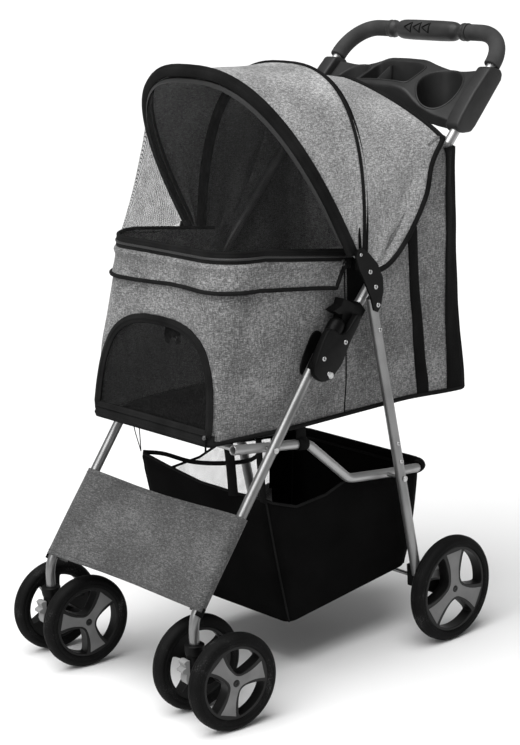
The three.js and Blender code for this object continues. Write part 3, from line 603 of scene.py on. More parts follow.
def prism(name, outline, low, high, look):
    """A solid with a 2-D outline, standing along X from low to high, in millimetres."""
    count = len(outline)
    verts = [mm(x, *p) for x in (low, high) for p in outline]
    faces = [tuple(reversed(range(count))), tuple(range(count, 2 * count))]
    faces += [(i, (i + 1) % count, count + (i + 1) % count, count + i) for i in range(count)]
    return add_object(name, mesh_from(name, verts, faces), look)


def corner_cut(points, rounds=2):
    """Rounds a closed outline by cutting its corners."""
    for _ in range(rounds):
        cut = []
        for a, b in zip(points, points[1:] + points[:1]):
            cut.extend((a.lerp(b, 0.25), a.lerp(b, 0.75)))
        points = cut
    return points


def joined(name, pieces, slot):
    """Joins pieces into one object, keeping each one's material."""
    verts, faces, indices, materials = [], [], [], []
    for piece in pieces:
        offset = len(verts)
        verts.extend(v.co.copy() for v in piece.data.vertices)
        for polygon in piece.data.polygons:
            material = piece.data.materials[polygon.material_index]
            if material not in materials:
                materials.append(material)
            indices.append(materials.index(material))
            faces.append(tuple(offset + i for i in polygon.vertices))
    for piece in pieces:
        bpy.data.objects.remove(piece)
    obj = add_object(name, mesh_from(name, verts, faces), slot=slot)
    for material in materials:
        obj.data.materials.append(material)
    for polygon, index in zip(obj.data.polygons, indices):
        polygon.material_index = index
    return obj


def round_over(obj, width, segments=2, angle=40):
    """Rounds an object's sharp edges and shades the rest smooth."""
    bevel = obj.modifiers.new("bevel", "BEVEL")
    bevel.limit_method = "ANGLE"
    bevel.angle_limit = math.radians(angle)
    bevel.width = width
    bevel.segments = segments
    normals = obj.modifiers.new("normals", "WEIGHTED_NORMAL")
    normals.keep_sharp = False
    for polygon in obj.data.polygons:
        polygon.use_smooth = True
    return obj


def box_wall(u, marks, front, rear, front_round, rear_round, half_at):
    """A place on the left half of a box with rounded corners: x, y and the outward direction.
    u runs from front centre to rear centre. marks are the ends of the front, the front corner,
    the side and the rear corner, and half_at(y) is the half width."""
    start, end = front + front_round, rear - rear_round
    if u <= marks[0]:
        return u / marks[0] * (half_at(start) - front_round), front, 0, -1
    if u <= marks[1]:
        angle = math.pi / 2 * (u - marks[0]) / (marks[1] - marks[0])
        nx, ny = math.sin(angle), -math.cos(angle)
        return half_at(start) - front_round + front_round * nx, start + front_round * ny, nx, ny
    if u <= marks[2]:
        y = lerp(start, end, (u - marks[1]) / (marks[2] - marks[1]))
        return half_at(y), y, 1, 0
    if u <= marks[3]:
        angle = math.pi / 2 * (u - marks[2]) / (marks[3] - marks[2])
        nx, ny = math.cos(angle), math.sin(angle)
        return half_at(end) - rear_round + rear_round * nx, end + rear_round * ny, nx, ny
    return (1 - u) / (1 - marks[3]) * (half_at(end) - rear_round), rear, 0, 1


# ---------------------------------------------------------------- carried-over CAD nodes

KEPT_PAIRS = {
    "painted_tube": ["front_leg", "rear_leg"],
    "black_plastic": ["caster_body", "caster_stem", "axle_housing", "pivot_plate",
                      "release_slider"],
    "lever_plastic": ["swivel_lock", "brake_pedal"],
    "steel": ["handle_pivot_pin", "rail_front_pin", "rail_rear_pin", "caster_axle"],
}
KEPT_SINGLE = {
    # The rail, front bar and handle tube take the lighter copy of the frame's paint: painted light.
    "rail_tube": ["seat_rail", "rail_front_bar", "handle_tube"],
    "steel": ["rear_axle", "hood_front_rib", "hood_mid_rib"],
    "tray_plastic": ["cup_tray"],
}


def keep_node(node, look):
    """Keeps a CAD node, with a finished material and rounded edges."""
    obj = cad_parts[node]
    obj.data.materials.clear()
    obj.data.materials.append(LOOK[look])
    weld = obj.modifiers.new("weld", "WELD")
    weld.merge_threshold = 1e-5
    round_over(obj, 0.0006, angle=50)


for look, nodes in KEPT_PAIRS.items():
    for node in nodes:
        for side, _ in SIDES:
            keep_node(f"{node}_{side}", look)
for look, nodes in KEPT_SINGLE.items():
    for node in nodes:
        keep_node(node, look)

# ---------------------------------------------------------------- canopy and its net

HOOD_HALF = 183
HOOD_ROUNDNESS = 2.65
FRONT_RIB = ((-14, 668), (-167, 941))
MID_RIB = ((6, 639), (26, 935.5))
REAR_ARCH = ((186, 822), (161, 903))
REAR_ROUNDNESS = 1.25
BACK_EDGE_SIDE = ((18, 632), (62, 641), (104, 676), (146, 736), (160, 786))
ARCH_START = 0.12  # where the back edge joins the rear arch
SIDE_SHARE = 0.2  # share of the back edge that lies below the arch on each side
CANOPY_OUT = 7  # the cloth's distance outside the rib's centre line
CANOPY_FOOT = 0.045  # share of each hoop left bare at its foot
REAR_FOOT = 0.012  # the same for the rear edge
HOOD_HEART = mm(0, 40, 690)
CANOPY_U, CANOPY_V = 96, 24
WINDOW_U, WINDOW_V = 72, 30
FLAP_FOOT = mm(152, 248, 808)


def hoop_point(hoop, t, grow=0.0, roundness=HOOD_ROUNDNESS):
    """A point on a hoop from its left foot, t 0, over the top to its right foot, t 1."""
    (base_y, base_z), (top_y, top_z) = hoop
    angle = math.pi * (t - math.sin(2 * math.pi * t) / (2 * math.pi))
    across, rise = squarish(angle, roundness)
    dy, dz = top_y - base_y, top_z - base_z
    swell = 1 + grow / math.hypot(dy, dz)
    return mm(across * (HOOD_HALF + grow), base_y + dy * rise * swell,
              base_z + dz * rise * swell)


def arch_point(t, grow):
    return hoop_point(REAR_ARCH, t, grow, REAR_ROUNDNESS)


def back_edge(t, grow):
    """The canopy's rear edge: up each side behind the plate, then over the rear arch."""
    foot = min(t, 1 - t)
    if foot >= SIDE_SHARE:
        over = (t - SIDE_SHARE) / (1 - 2 * SIDE_SHARE)
        return arch_point(lerp(ARCH_START, 1 - ARCH_START, over), grow)
    line = [mm(HOOD_HALF + grow, y, z) for y, z in BACK_EDGE_SIDE]
    point = spline(line + [arch_point(ARCH_START, grow)], foot / SIDE_SHARE)
    side = 1 if t < 0.5 else -1
    return Vector((side * point.x, point.y, point.z))


def canopy_folds(t, f, seed):
    """How far the cloth sinks between two ribs: soft pulls fan out from the plate."""
    side = abs(2 * t - 1)
    slack = math.sin(math.pi * f)
    pulls = math.sin(2 * math.pi * (2.1 * f + 0.35 * side + seed))
    fine = noise.noise(Vector((9 * t + seed, 3 * f, seed)))
    return slack * (3.5 + 3.4 * smoothstep(0.25, 0.85, side) * pulls + 2.4 * fine)


def canopy_point(u, v):
    foot = lerp(CANOPY_FOOT, REAR_FOOT, smoothstep(0.5, 0.8, v))
    t = lerp(foot, 1 - foot, u)
    middle = hoop_point(MID_RIB, t, CANOPY_OUT)
    if v < 0.5:
        f, seed = v * 2, 0.1
        start, end = hoop_point(FRONT_RIB, t, CANOPY_OUT), middle
    else:
        f, seed = v * 2 - 1, 0.6
        start, end = middle, back_edge(t, CANOPY_OUT)
    point = start.lerp(end, f)
    inward = (HOOD_HEART - point).normalized()
    return point + inward * canopy_folds(t, f, seed) / 1000


def blend_rows(obj, columns, rows, first, last):
    """Sets how far the first to the last row of a blended sheet follow its second body."""
    attribute = obj.data.attributes["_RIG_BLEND"]
    for vertex, item in zip(obj.data.vertices, attribute.data):
        item.value = lerp(first, last, (vertex.index // (columns + 1)) / rows)


def canopy_half(name, start, end, bodies, weights, node):
    """The cloth between two hoops. weights are its share of the second body at each edge."""
    cloth = surface(name, lambda u, v: canopy_point(u, lerp(start, end, v)), CANOPY_U, CANOPY_V,
                    "grey_fabric", flip=True)
    thicken(cloth, 0.0016, offset=-1, inner_look="grey_lining")
    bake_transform(cloth, *bodies, start=mm(0, 160, 900), end=mm(0, -169, 900))
    blend_rows(cloth, CANOPY_U, CANOPY_V, *weights)
    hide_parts(node)
    return cloth


def hood_out(points):
    """The out direction for a strip swept along the hood."""
    return lambda i: points[i] - HOOD_HEART


def hoop_line(hoop, bare, grow):
    """A line along a hoop that leaves a bare share at each foot."""
    return sampled(lambda t: hoop_point(hoop, lerp(bare, 1 - bare, t), grow), 90)


def rim_point(t):
    """The bag's front rim, from its left end over the front to its right end."""
    across, rise = squarish(math.pi * t, 6.5)
    return mm(across * 152, lerp(-10, -224, rise), lerp(663, 687, rise))


def window_point(u, v):
    top = hoop_point(FRONT_RIB, lerp(0.1, 0.9, u))
    bottom = rim_point(lerp(0.03, 0.97, u))
    sag = 5 * math.sin(math.pi * v) * math.sin(math.pi * u)
    wave = 1.6 * noise.noise(Vector((14 * u, 5 * v, 3))) * math.sin(math.pi * v)
    return top.lerp(bottom, v) + mm(0, sag + wave, 0)


def back_flap_point(u, v):
    top = back_edge(lerp(0.3, 0.7, u), CANOPY_OUT - 1)
    bottom = Vector((lerp(FLAP_FOOT.x, -FLAP_FOOT.x, u), FLAP_FOOT.y, FLAP_FOOT.z))
    belly = mm(0, 5 * math.sin(math.pi * v) + 2 * noise.noise(Vector((8 * u, 4 * v, 9))), 0)
    return top.lerp(bottom, v) + belly


canopy_front = canopy_half("canopy_front", 0, 0.5, ("handle", "hood_front"), (1, 0.5),
                           "hood_front_cloth")
canopy_rear = canopy_half("canopy_rear", 0.5, 1, ("handle", "hood_mid"), (1, 0),
                          "hood_rear_cloth")
front_line = hoop_line(FRONT_RIB, 0.012, 4)
front_binding_section = in_metres([
    (-8, -6), (8, -6), (9, -2), (8.4, 4), (6, 7.4), (2.5, 8), (0, 6), (-3, 7.6), (-6.5, 7),
    (-8.6, 3), (-9, -2),
])
front_binding = swept("canopy_front_binding", front_line, front_binding_section, "binding",
                      up=hood_out(front_line))
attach(front_binding, "hood_front")

window = surface("window_net", window_point, WINDOW_U, WINDOW_V, "black_mesh")
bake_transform(window, "handle", "hood_front", start=mm(0, -224, 680), end=mm(0, -167, 941))
blend_rows(window, WINDOW_U, WINDOW_V, 1, 0)
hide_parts("window_mesh")
zip_line = sampled(lambda u: window_point(u, 0.045), 80)
zip_section = in_metres([(-6, 0), (6, 0), (6, 1.4), (2, 1.6), (1.4, 3.4), (-1.4, 3.4),
                         (-2, 1.6), (-6, 1.4)])
window_zip = swept("window_zip", zip_line, zip_section, "zip", up=hood_out(zip_line))
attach(window_zip, "hood_front")

mid_piping = cord_piece("canopy_mid_piping", hoop_line(MID_RIB, 0.02, CANOPY_OUT + 1), 0.0026)
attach(mid_piping, "hood_mid")
sleeve_line = hoop_line(MID_RIB, 0.03, 1.5)
sleeve_section = in_metres([(-10, 4.5), (-9, -1), (-4, -5.5), (4, -5.5), (9, -1), (10, 4.5)])
mid_sleeve = swept("canopy_mid_sleeve", sleeve_line, sleeve_section, "webbing",
                   up=hood_out(sleeve_line))
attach(mid_sleeve, "hood_mid")

rear_line = sampled(lambda t: back_edge(lerp(0.01, 0.99, t), CANOPY_OUT + 0.5), 120)
rear_piping = cord_piece("canopy_rear_piping", rear_line, 0.0043)
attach(rear_piping, "handle")
back_flap = surface("canopy_back_flap", back_flap_point, 48, 16, "grey_fabric", flip=True)
thicken(back_flap, 0.0014, inner_look="grey_lining")
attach(back_flap, "handle")
flap_hem = cord_piece("canopy_flap_piping", sampled(lambda u: back_flap_point(u, 1), 40), 0.0025)
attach(flap_hem, "handle")

# ---------------------------------------------------------------- cabin bag

FLOOR_Z = 407
FRONT_Y, FRONT_RIM_Y = -265, -226
FRONT_RIM_Z = 688
REAR_PROFILE = [(407, 256), (604, 242), (798, 228), (815, 218)]
REAR_ROUND = 12
TOP_LINE = [
    (-226, 688), (-7, 665), (20, 664), (66, 690), (112, 740), (153, 800), (172, 820),
    (196, 828), (222, 815), (260, 811),
]
BAG_MARKS = (0.16, 0.24, 0.8, 0.86)  # ends of the front, its corner, the side and its corner
BAG_U, BAG_V = 240, 56
RIM_REACH = 0.495  # how far round each side the zipped rim runs
FLAP_REACH = 0.478
DOOR_HALF_ARCH = [(137, 420), (135, 462), (128, 502), (110, 540), (82, 563), (44, 575), (0, 578)]
DOOR_MIDDLE = Vector((0, 480, 0))
DOOR_SILL = 421
DOORWAY_Y = -190  # the doorway is only cut in the cloth in front of this
FRONT_NORMAL = Vector((0, -1, 0.14)).normalized()


def front_y(z):
    return lerp(FRONT_Y, FRONT_RIM_Y, (z - FLOOR_Z) / (FRONT_RIM_Z - FLOOR_Z))


def corner_radius(z):
    """The front corners are tight at the floor and open out towards the rim."""
    return lerp(17, 62, smoothstep(470, 688, z))


def side_x(y, z, top):
    """Half width of the bag. Its rear part runs out over the handle arms as it rises."""
    width = lerp(143, 157, smoothstep(FRONT_Y, -90, y))
    height = min(max((z - FLOOR_Z) / (top - FLOOR_Z), 0), 1)
    belly = 5 * math.sin(math.pi * height) * smoothstep(FRONT_Y, -180, y)
    over_arm = 29 * height * smoothstep(14, 64, y) * (1 - smoothstep(196, 246, y))
    flare = smoothstep(120, 250, y) * lerp(20, 4, height)
    return width + belly * (1 - smoothstep(8, 62, y)) + over_arm + flare


def bag_top(u):
    """Height of the bag's upper edge, u 0 at front centre to 1 at rear centre."""
    corner, side = BAG_MARKS[1:3]
    if u < corner:
        return FRONT_RIM_Z
    return table(TOP_LINE, lerp(-228, 232, min(max((u - corner) / (side - corner), 0), 1)))


def bag_wall(u, z, out=0.0, top=None):
    """A point on the bag's wall at height z, u 0 to 1 round its left half and -1 to 0 its
    right."""
    hand = 1 if u >= 0 else -1
    u = abs(u)
    top = top or bag_top(u)
    x, y, nx, ny = box_wall(u, BAG_MARKS, front_y(z), table(REAR_PROFILE, z), corner_radius(z),
                            REAR_ROUND, lambda y: side_x(y, z, top))
    crease = 2.2 * noise.noise(Vector((x * hand, y, z * 0.8)) / 62)
    crease += 1.5 * noise.noise(Vector((x * hand, y * 1.6, z * 0.5 + 70)) / 27)
    calm = smoothstep(0, 30, z - FLOOR_Z) * smoothstep(0, 20, top - z)
    reach = out + crease * calm
    return mm(hand * (x + nx * reach), y + ny * reach, z)


def wall_at(y, z, out, hand=1):
    """The bag wall's point at a given y on its side, rather than at a place round it."""
    start, end = front_y(z) + corner_radius(z), table(REAR_PROFILE, z) - REAR_ROUND
    u = lerp(BAG_MARKS[1], BAG_MARKS[2], (y - start) / (end - start))
    return bag_wall(hand * u, z, out)


def door_arch(count):
    return smooth_line([Vector((x, z, 0)) for x, z in DOOR_HALF_ARCH], count)


def door_outline(inset=0.0):
    """The doorway's outline as (x, z) points, counter-clockwise from its lower left corner."""
    curve = [p + (DOOR_MIDDLE - p).normalized() * inset for p in door_arch(40)]
    left = [(p.x, p.y) for p in curve]
    right = [(-x, z) for x, z in reversed(left[:-1])]
    base = [(lerp(right[-1][0], left[0][0], i / 24), left[0][1]) for i in range(1, 24)]
    return left + right + base


DOOR_LINE = door_outline()
DOOR_ARCH = door_arch(60)


def outside_door(point):
    """Whether a point is off the doorway, by counting the outline's crossings beside it."""
    x, y, z = point * 1000
    within = False
    for (x0, z0), (x1, z1) in zip(DOOR_LINE, DOOR_LINE[1:] + DOOR_LINE[:1]):
        if (z0 > z) != (z1 > z) and x < (x1 - x0) * (z - z0) / (z1 - z0) + x0:
            within = not within
    return not (y < DOORWAY_Y and within)


def snap_hole(obj):
    """Moves the ragged edge of the hole in the front wall onto the door's outline."""
    edges = {}
    for polygon in obj.data.polygons:
        for key in polygon.edge_keys:
            edges[key] = edges.get(key, 0) + 1
    loose = {i for key, count in edges.items() if count == 1 for i in key}
    for i in loose:
        co = obj.data.vertices[i].co * 1000
        if co.y > DOORWAY_Y or not 409 < co.z < 600 or abs(co.x) > 142:
            continue
        x, z = min(DOOR_LINE, key=lambda p: (p[0] - co.x) ** 2 + (p[1] - co.z) ** 2)
        obj.data.vertices[i].co = mm(x, front_y(z), z)


def bag_shell_point(u, v):
    turn = 2 * u - 1
    return bag_wall(turn, lerp(FLOOR_Z, bag_top(abs(turn)), v))


def on_bag(pieces):
    """Lets cloth pieces ride with the seat frame, each with a mesh of its own."""
    for piece in pieces:
        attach(piece, "seat_frame")
        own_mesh(piece)


def floor_point(u, v):
    """The cloth under the cabin, sagging between the rails."""
    y = lerp(FRONT_Y + 1, REAR_PROFILE[0][1] - 1, v)
    nose = 1 - min(max((y - FRONT_Y) / 15, 0), 1)
    half = side_x(y, FLOOR_Z, 660) - 15 * (1 - math.sqrt(max(1 - nose * nose, 0)))
    s = 2 * u - 1
    sag = 10 * (1 - s * s) * math.sin(math.pi * min(max(v, 0), 1)) ** 0.5
    return mm(s * half, y, FLOOR_Z - sag)


def wall_ribbon(name, reach, low, high, out, lip, count, rows):
    """A bound strip across the bag's front, between the heights low(u) and high(u)."""
    def point(s, v):
        u = lerp(-reach, reach, s)
        return bag_wall(u, lerp(low(u), high(u), v), out + lip * math.sin(math.pi * v))
    return surface(name, point, count, rows, "binding")


def rim_end(u):
    return bag_top(abs(u))


def rim_cord(name, drop, out, radius, look):
    """A cord round the rim, a little below its edge."""
    turns = sampled(lambda s: lerp(-RIM_REACH, RIM_REACH, s), 160)
    return cord_piece(name, [bag_wall(u, rim_end(u) - drop, out) for u in turns], radius, look)


def flap_point(s, v):
    u = lerp(-FLAP_REACH, FLAP_REACH, s)
    slant = 0.022 * v
    u = math.copysign(max(abs(u) - slant * smoothstep(0.4, FLAP_REACH, abs(u)), 0), u)
    droop = 1.5 * math.sin(5 * u) + math.sin(17 * u + 1)
    z = lerp(rim_end(u) - 16, rim_end(u) - 58 + droop, v)
    roll = 4.2 * math.exp(-((v - 0.14) / 0.13) ** 2)
    ripple = 1.4 * math.sin(21 * u + 4 * v) * v
    return bag_wall(u, z, 2.6 + roll + 1.4 * v + ripple)


def door_net_point(u, v):
    z = lerp(DOOR_SILL, 577, v)
    half = min(DOOR_ARCH, key=lambda p: abs(p.y - z)).x
    s = 2 * u - 1
    return mm(s * half, front_y(z) + 2 + 3 * (1 - s * s) * math.sin(math.pi * v), z)


# The bag's walls, underside and rim flap use the darker copy of the grey melange: painted shade.
bag = surface("cabin_bag", bag_shell_point, BAG_U, BAG_V, "bag_fabric_painted_shade", closed=True,
              keep=outside_door)
snap_hole(bag)
thicken(bag, 0.0018, offset=-1, inner_look="grey_lining")
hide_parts("cabin_shell", "side_panel_left", "side_panel_right")
bag_floor = surface("cabin_underside", floor_point, 40, 50, "bag_fabric_painted_shade")
thicken(bag_floor, 0.0014)
bottom_line = [bag_wall(2 * i / 200 - 1, FLOOR_Z + 2, 1.5) for i in range(200)]
bottom_piping = cord_piece("cabin_bottom_piping", bottom_line, 0.0034, closed=True)
front_band = wall_ribbon("cabin_front_band", 0.205, lambda u: 404, lambda u: DOOR_SILL, 1.2, 1.2,
                         120, 4)
thicken(front_band, 0.0015, offset=1)
rim_band = wall_ribbon("cabin_rim_band", RIM_REACH, lambda u: rim_end(u) - 27,
                       lambda u: rim_end(u) + 1, 1.4, 1.0, 160, 5)
thicken(rim_band, 0.0016, offset=1)
rim_zip = rim_cord("cabin_rim_zip", 9, 3.2, 0.0022, "zip")
rim_edge = rim_cord("cabin_rim_edge", 0.5, 0.6, 0.0032, "binding")

flap = surface("cabin_rim_flap", flap_point, 180, 18, "bag_fabric_painted_shade", flip=True)
thicken(flap, 0.0016, offset=-1)
flap_edge = [flap_point(0, v / 10) for v in range(1, 10)]
flap_edge += sampled(lambda s: flap_point(s, 1), 160)
flap_edge += [flap_point(1, v / 10) for v in range(9, 0, -1)]
flap_piping = cord_piece("cabin_flap_binding", flap_edge, 0.0036, flat=0.9)

door_net = surface("door_net", door_net_point, 40, 40, "door_mesh")
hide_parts("door_mesh")
door_line = [mm(x, front_y(z) - 0.6, z) for x, z in door_outline(4)]
door_section = in_metres([(-7, -0.5), (7, -0.5), (7, 1.6), (2.4, 1.9), (1.8, 3.9), (-0.6, 3.9),
                          (-1.4, 1.9), (-4, 2.4), (-7, 1.5)])
door_binding = swept("door_binding", door_line, door_section, "binding", closed=True,
                     up=lambda i: FRONT_NORMAL)


def strap_on_wall(name, start, end, width, hand):
    """Flat webbing sewn to the bag's side between two (y, z) points."""
    def point(s, v):
        y = lerp(start[0], end[0], v) + (s - 0.5) * width
        return wall_at(y, lerp(start[1], end[1], v), 1.2 + 0.8 * math.sin(math.pi * s), hand)
    return thicken(surface(name, point, 6, 60, "webbing"), 0.0012, offset=1)


def side_trims(side, hand):
    """The side strap, the dark strip by the rear leg, the seam, patch and rear edge on one side of the bag.
    """
    def patch_point(s, v):
        return wall_at(lerp(0, 42, s), lerp(588, 662, v), 1.6, hand)

    def edge_point(s, v):
        u = hand * lerp(0.767, 0.872, s)
        return bag_wall(u, lerp(408, 808, v), 1.3 + 0.6 * math.sin(math.pi * s), top=815)

    def edge_cord_point(t):
        return bag_wall(hand * 0.83, lerp(409, 806, t), 2.6, top=815)

    side_strap = strap_on_wall(f"side_strap_{side}", (124, 690), (169, 409), 22, hand)
    seam_line = sampled(lambda t: wall_at(-4, lerp(411, 652, t), 0.6, hand), 40)
    seam = cord_piece(f"side_seam_{side}", seam_line, 0.0011, count=6)
    # A narrow dark strip of webbing on the wall, running beside the rear leg.
    leg_dark_strip = strap_on_wall(f"leg_dark_strip_{side}", (44, 572), (87, 421), 8, hand)
    patch = surface(f"plate_patch_{side}", patch_point, 8, 12, "webbing")
    edge = surface(f"rear_edge_band_{side}", edge_point, 12, 60, "webbing")
    thicken(edge, 0.0012, offset=1)
    edge_piping = cord_piece(f"rear_edge_piping_{side}", sampled(edge_cord_point, 60), 0.0028)
    return [side_strap, seam, leg_dark_strip, patch, edge, edge_piping]


def mat_point(u, v):
    """The soft mat over the stiff floor board."""
    across, along = squarish(2 * math.pi * u, 9)
    if v < 0.5:
        spread, z = v * 2, 419.5 - 2.2 * (v * 2) ** 4
    else:
        spread, z = 2 - v * 2, 410.5 + 1.2 * (v * 2 - 1)
    return mm(136 * across * spread, 0.5 + 246 * along * spread, z)


trims = [piece for side, hand in SIDES for piece in side_trims(side, hand)]
on_bag([bag, bag_floor, bottom_piping, front_band, rim_band, rim_zip, rim_edge, flap,
        flap_piping, door_net, door_binding, *trims])
mat = surface("floor_mat", mat_point, 72, 24, "floor_board", closed=True)
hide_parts("floor_board")
on_bag([mat])

# ---------------------------------------------------------------- basket and its webbing

BASKET_TOP = [(-177, 304), (-104, 279), (-40, 284), (7, 299), (94, 288), (180, 280.5)]
BASKET_FRONT = [(-150, 322), (-79, 311), (0, 301), (90, 301), (150, 304)]
FLOOR_FRONT, FLOOR_REAR = -112, 158
FLOOR_LOW, FLOOR_HIGH = 86, 118
FLOOR_HALF_WIDTH = 139
BASKET_MARKS = (0.2, 0.26, 0.74, 0.8)
BASKET_ROUND = 16
RAIL_LOOP_PLACE = (157, -98, 379.8)
RAIL_LOOP_WIDTH = 20
RAIL_SLOPE = -0.134
REAR_SLEEVE = [(-126, 190, 283.3), (-60, 190, 283.3), (0, 190, 283.3), (60, 190, 283.3),
               (126, 190, 283.3)]
CORNER_SLEEVE = [(122, 190, 283.3), (138, 187, 283.5), (149, 177, 284.4), (155.5, 162, 285.8)]


def basket_point(turn, v, out=0.0):
    """turn runs from -1 to 1 round the basket with 0 at front centre, v from bottom to top."""
    hand = 1 if turn >= 0 else -1
    u = abs(turn)
    x, y, nx, ny = box_wall(u, BASKET_MARKS, lerp(FLOOR_FRONT, -168, v),
                            lerp(FLOOR_REAR, 178, v), BASKET_ROUND, BASKET_ROUND,
                            lambda y: lerp(FLOOR_HALF_WIDTH, 151, v))
    top = table(BASKET_TOP, y)
    if u <= BASKET_MARKS[1]:
        corner = smoothstep(BASKET_MARKS[0], BASKET_MARKS[1], u)
        top = lerp(table(BASKET_FRONT, hand * x), top, corner)
    bottom = FLOOR_HIGH
    if u <= BASKET_MARKS[2]:
        bottom = table([(FLOOR_FRONT, FLOOR_LOW), (FLOOR_REAR, FLOOR_HIGH)], y)
    z = lerp(bottom, top, v)
    belly = 5 * math.sin(math.pi * v) + 3.2 * noise.noise(Vector((x * hand, y, z * 0.6)) / 80)
    reach = belly * smoothstep(0, 0.15, v) * smoothstep(0, 0.1, 1 - v) * 0.9 + out
    return mm(hand * (x + nx * reach), y + ny * reach, z)


def basket_base(u, v):
    """The bottom sheet, which hangs between the lower edges of the walls."""
    y = lerp(FLOOR_FRONT, FLOOR_REAR, v)
    s = 2 * u - 1
    nose = min((y - FLOOR_FRONT) / BASKET_ROUND, (FLOOR_REAR - y) / BASKET_ROUND, 1)
    half = FLOOR_HALF_WIDTH - BASKET_ROUND * (1 - math.sqrt(max(1 - (1 - nose) ** 2, 0)))
    sag = 7 * (1 - s * s) * math.sin(math.pi * v)
    return mm(s * half, y, lerp(FLOOR_LOW, FLOOR_HIGH, v) - sag)


def hung_strap(name, points, width, up=Vector((0, -1, 0))):
    line = smooth_line([mm(*p) for p in points], 24)
    return swept(name, line, tape_section(width, 1.6), "webbing", up=lambda i: up)


def is_net(point):
    """Whether a place on the basket is in the pale net of its right side."""
    x, y, z = point * 1000
    return x < -133 and -95 < y < 120 and z > 130


def rail_loop(name, hand):
    """Webbing wrapped round a rail and sewn to the bag above it."""
    x, y, z = RAIL_LOOP_PLACE
    half = RAIL_LOOP_WIDTH / 2
    profile = in_metres([(8.0, -half), (9.6, -half), (9.9, 0), (9.6, half), (8.0, half)])
    ring = turned(name + "_ring", profile, mm(hand * x, y, z),
                  Vector((0, 1, RAIL_SLOPE)), 20, "webbing")
    tail = hung_strap(name + "_tail", [(hand * x, y, z + 8), (hand * (x - 0.5), y, 408)],
                      RAIL_LOOP_WIDTH, up=Vector((hand, 0, 0)))
    return joined(name, [ring, tail], "black_fabric")


basket = surface("basket_walls", lambda u, v: basket_point(2 * u - 1, v), 200, 30,
                 "black_fabric", closed=True)
basket.data.materials.append(LOOK["pale_net"])
for polygon in basket.data.polygons:
    polygon.material_index = int(is_net(polygon.center))
basket_bottom = surface("basket_bottom", basket_base, 30, 30, "black_fabric")
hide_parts("basket")
hem_line = [basket_point(2 * i / 240 - 1, 1) for i in range(240)]
basket_pieces = [basket, basket_bottom, cord_piece("basket_hem", hem_line, 0.0022, closed=True)]
for k, turn in enumerate((0.23, -0.23, 0.77, -0.77)):
    seam_line = sampled(lambda v, turn=turn: basket_point(turn, v, 0.4), 24)
    basket_pieces.append(cord_piece(f"basket_corner_seam_{k + 1}", seam_line, 0.0016, count=6))
basket_pieces += [
    hung_strap("basket_centre_strap", [(64, -168, 402), (67, -166, 372), (73, -167, 335),
                                       (80, -170, 296)], 22),
    hung_strap("basket_left_strap", [(147, -176, 402), (148, -175, 360), (149, -172, 330),
                                     (148, -170, 300)], 13),
    hung_strap("basket_cross_strap", [(-146, -164, 320), (-108, -152, 322), (-40, -150, 322),
                                      (39, -151, 336), (110, -156, 358), (148, -165, 392)], 7,
               up=Vector((0, -0.9, 0.4))),
]
for k, x in enumerate((-128, -141)):
    line = smooth_line([mm(x, -190, 402), mm(x - 4, -182, 365), mm(-147, -168, 322)], 20)
    basket_pieces.append(cord_piece(f"basket_cord_{k + 1}", line, 0.0009, count=6))
sleeves = [rail_loop(f"rail_loop_{side}", hand) for side, hand in SIDES]
rear_sleeve_line = smooth_line([mm(*p) for p in REAR_SLEEVE], 30)
sleeves.append(cord_piece("basket_rear_sleeve", rear_sleeve_line, 0.0098, "black_fabric",
                          count=18))
for side, hand in SIDES:
    line = smooth_line([mm(hand * x, y, z) for x, y, z in CORNER_SLEEVE], 16)
    sleeves.append(cord_piece(f"basket_corner_sleeve_{side}", line, 0.0096, "black_fabric",
                              count=18))
for piece in basket_pieces:
    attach(piece, "seat_frame")
    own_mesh(piece)
for piece in sleeves:
    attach(piece, "seat_frame")

# ---------------------------------------------------------------- footrest panel

LEG_X = 176
PANEL_LOW, PANEL_HIGH = 176, 299
PANEL_WRAP = 10.2  # cloth round a leg, measured from the leg's centre line
PANEL_TAIL, PANEL_TURN = 0.07, 0.16  # ends of the tucked part and of the turn round the leg
LEG_LEAN = 0.74
LEG_STEP = math.hypot(1, LEG_LEAN)


def leg_y(z):
    return -240.7 + LEG_LEAN * (z - 300)


def panel_section(u):
    """The panel across the legs: behind one leg, round it, over the front and back behind the
    other. Returns how far across and how far out of the legs' plane."""
    hand = 1 if u < 0.5 else -1
    s = min(u, 1 - u) / 0.5
    if s < PANEL_TAIL:
        return hand * lerp(LEG_X - 26, LEG_X, s / PANEL_TAIL), -PANEL_WRAP
    if s < PANEL_TURN:
        angle = math.pi * (s - PANEL_TAIL) / (PANEL_TURN - PANEL_TAIL)
        return hand * (LEG_X + PANEL_WRAP * math.sin(angle)), -PANEL_WRAP * math.cos(angle)
    f = (s - PANEL_TURN) / (1 - PANEL_TURN)
    return hand * lerp(LEG_X, 0, f), PANEL_WRAP - 3.5 * smoothstep(0, 1, f)


def panel_point(u, v):
    across, out = panel_section(u)
    z = lerp(PANEL_LOW, PANEL_HIGH, v)
    middle = math.sin(math.pi * u)
    z += lerp(2.6, -3.4, v) * middle ** 2
    out += 2.2 * middle * noise.noise(Vector((across / 70, z / 55, 4)))
    out += 1.4 * middle * noise.noise(Vector((across / 26, z / 60, 8)))
    return mm(across, leg_y(z) - out / LEG_STEP, z + out * LEG_LEAN / LEG_STEP)


def panel_stitch(name, v):
    line = sampled(lambda u: panel_point(lerp(0.05, 0.95, u), v) + mm(0, -0.9, 0.6), 150)
    return cord_piece(name, line, 0.0006, "thread", count=5)


def panel_tab(name, start):
    """A small webbing tab sewn under the panel's lower edge, from place start across it."""
    def point(s, v):
        return panel_point(start + 0.03 * s, lerp(-0.045, 0.05, v)) + mm(0, 0.6, -0.4)
    return thicken(surface(name, point, 10, 4, "webbing"), 0.0014)


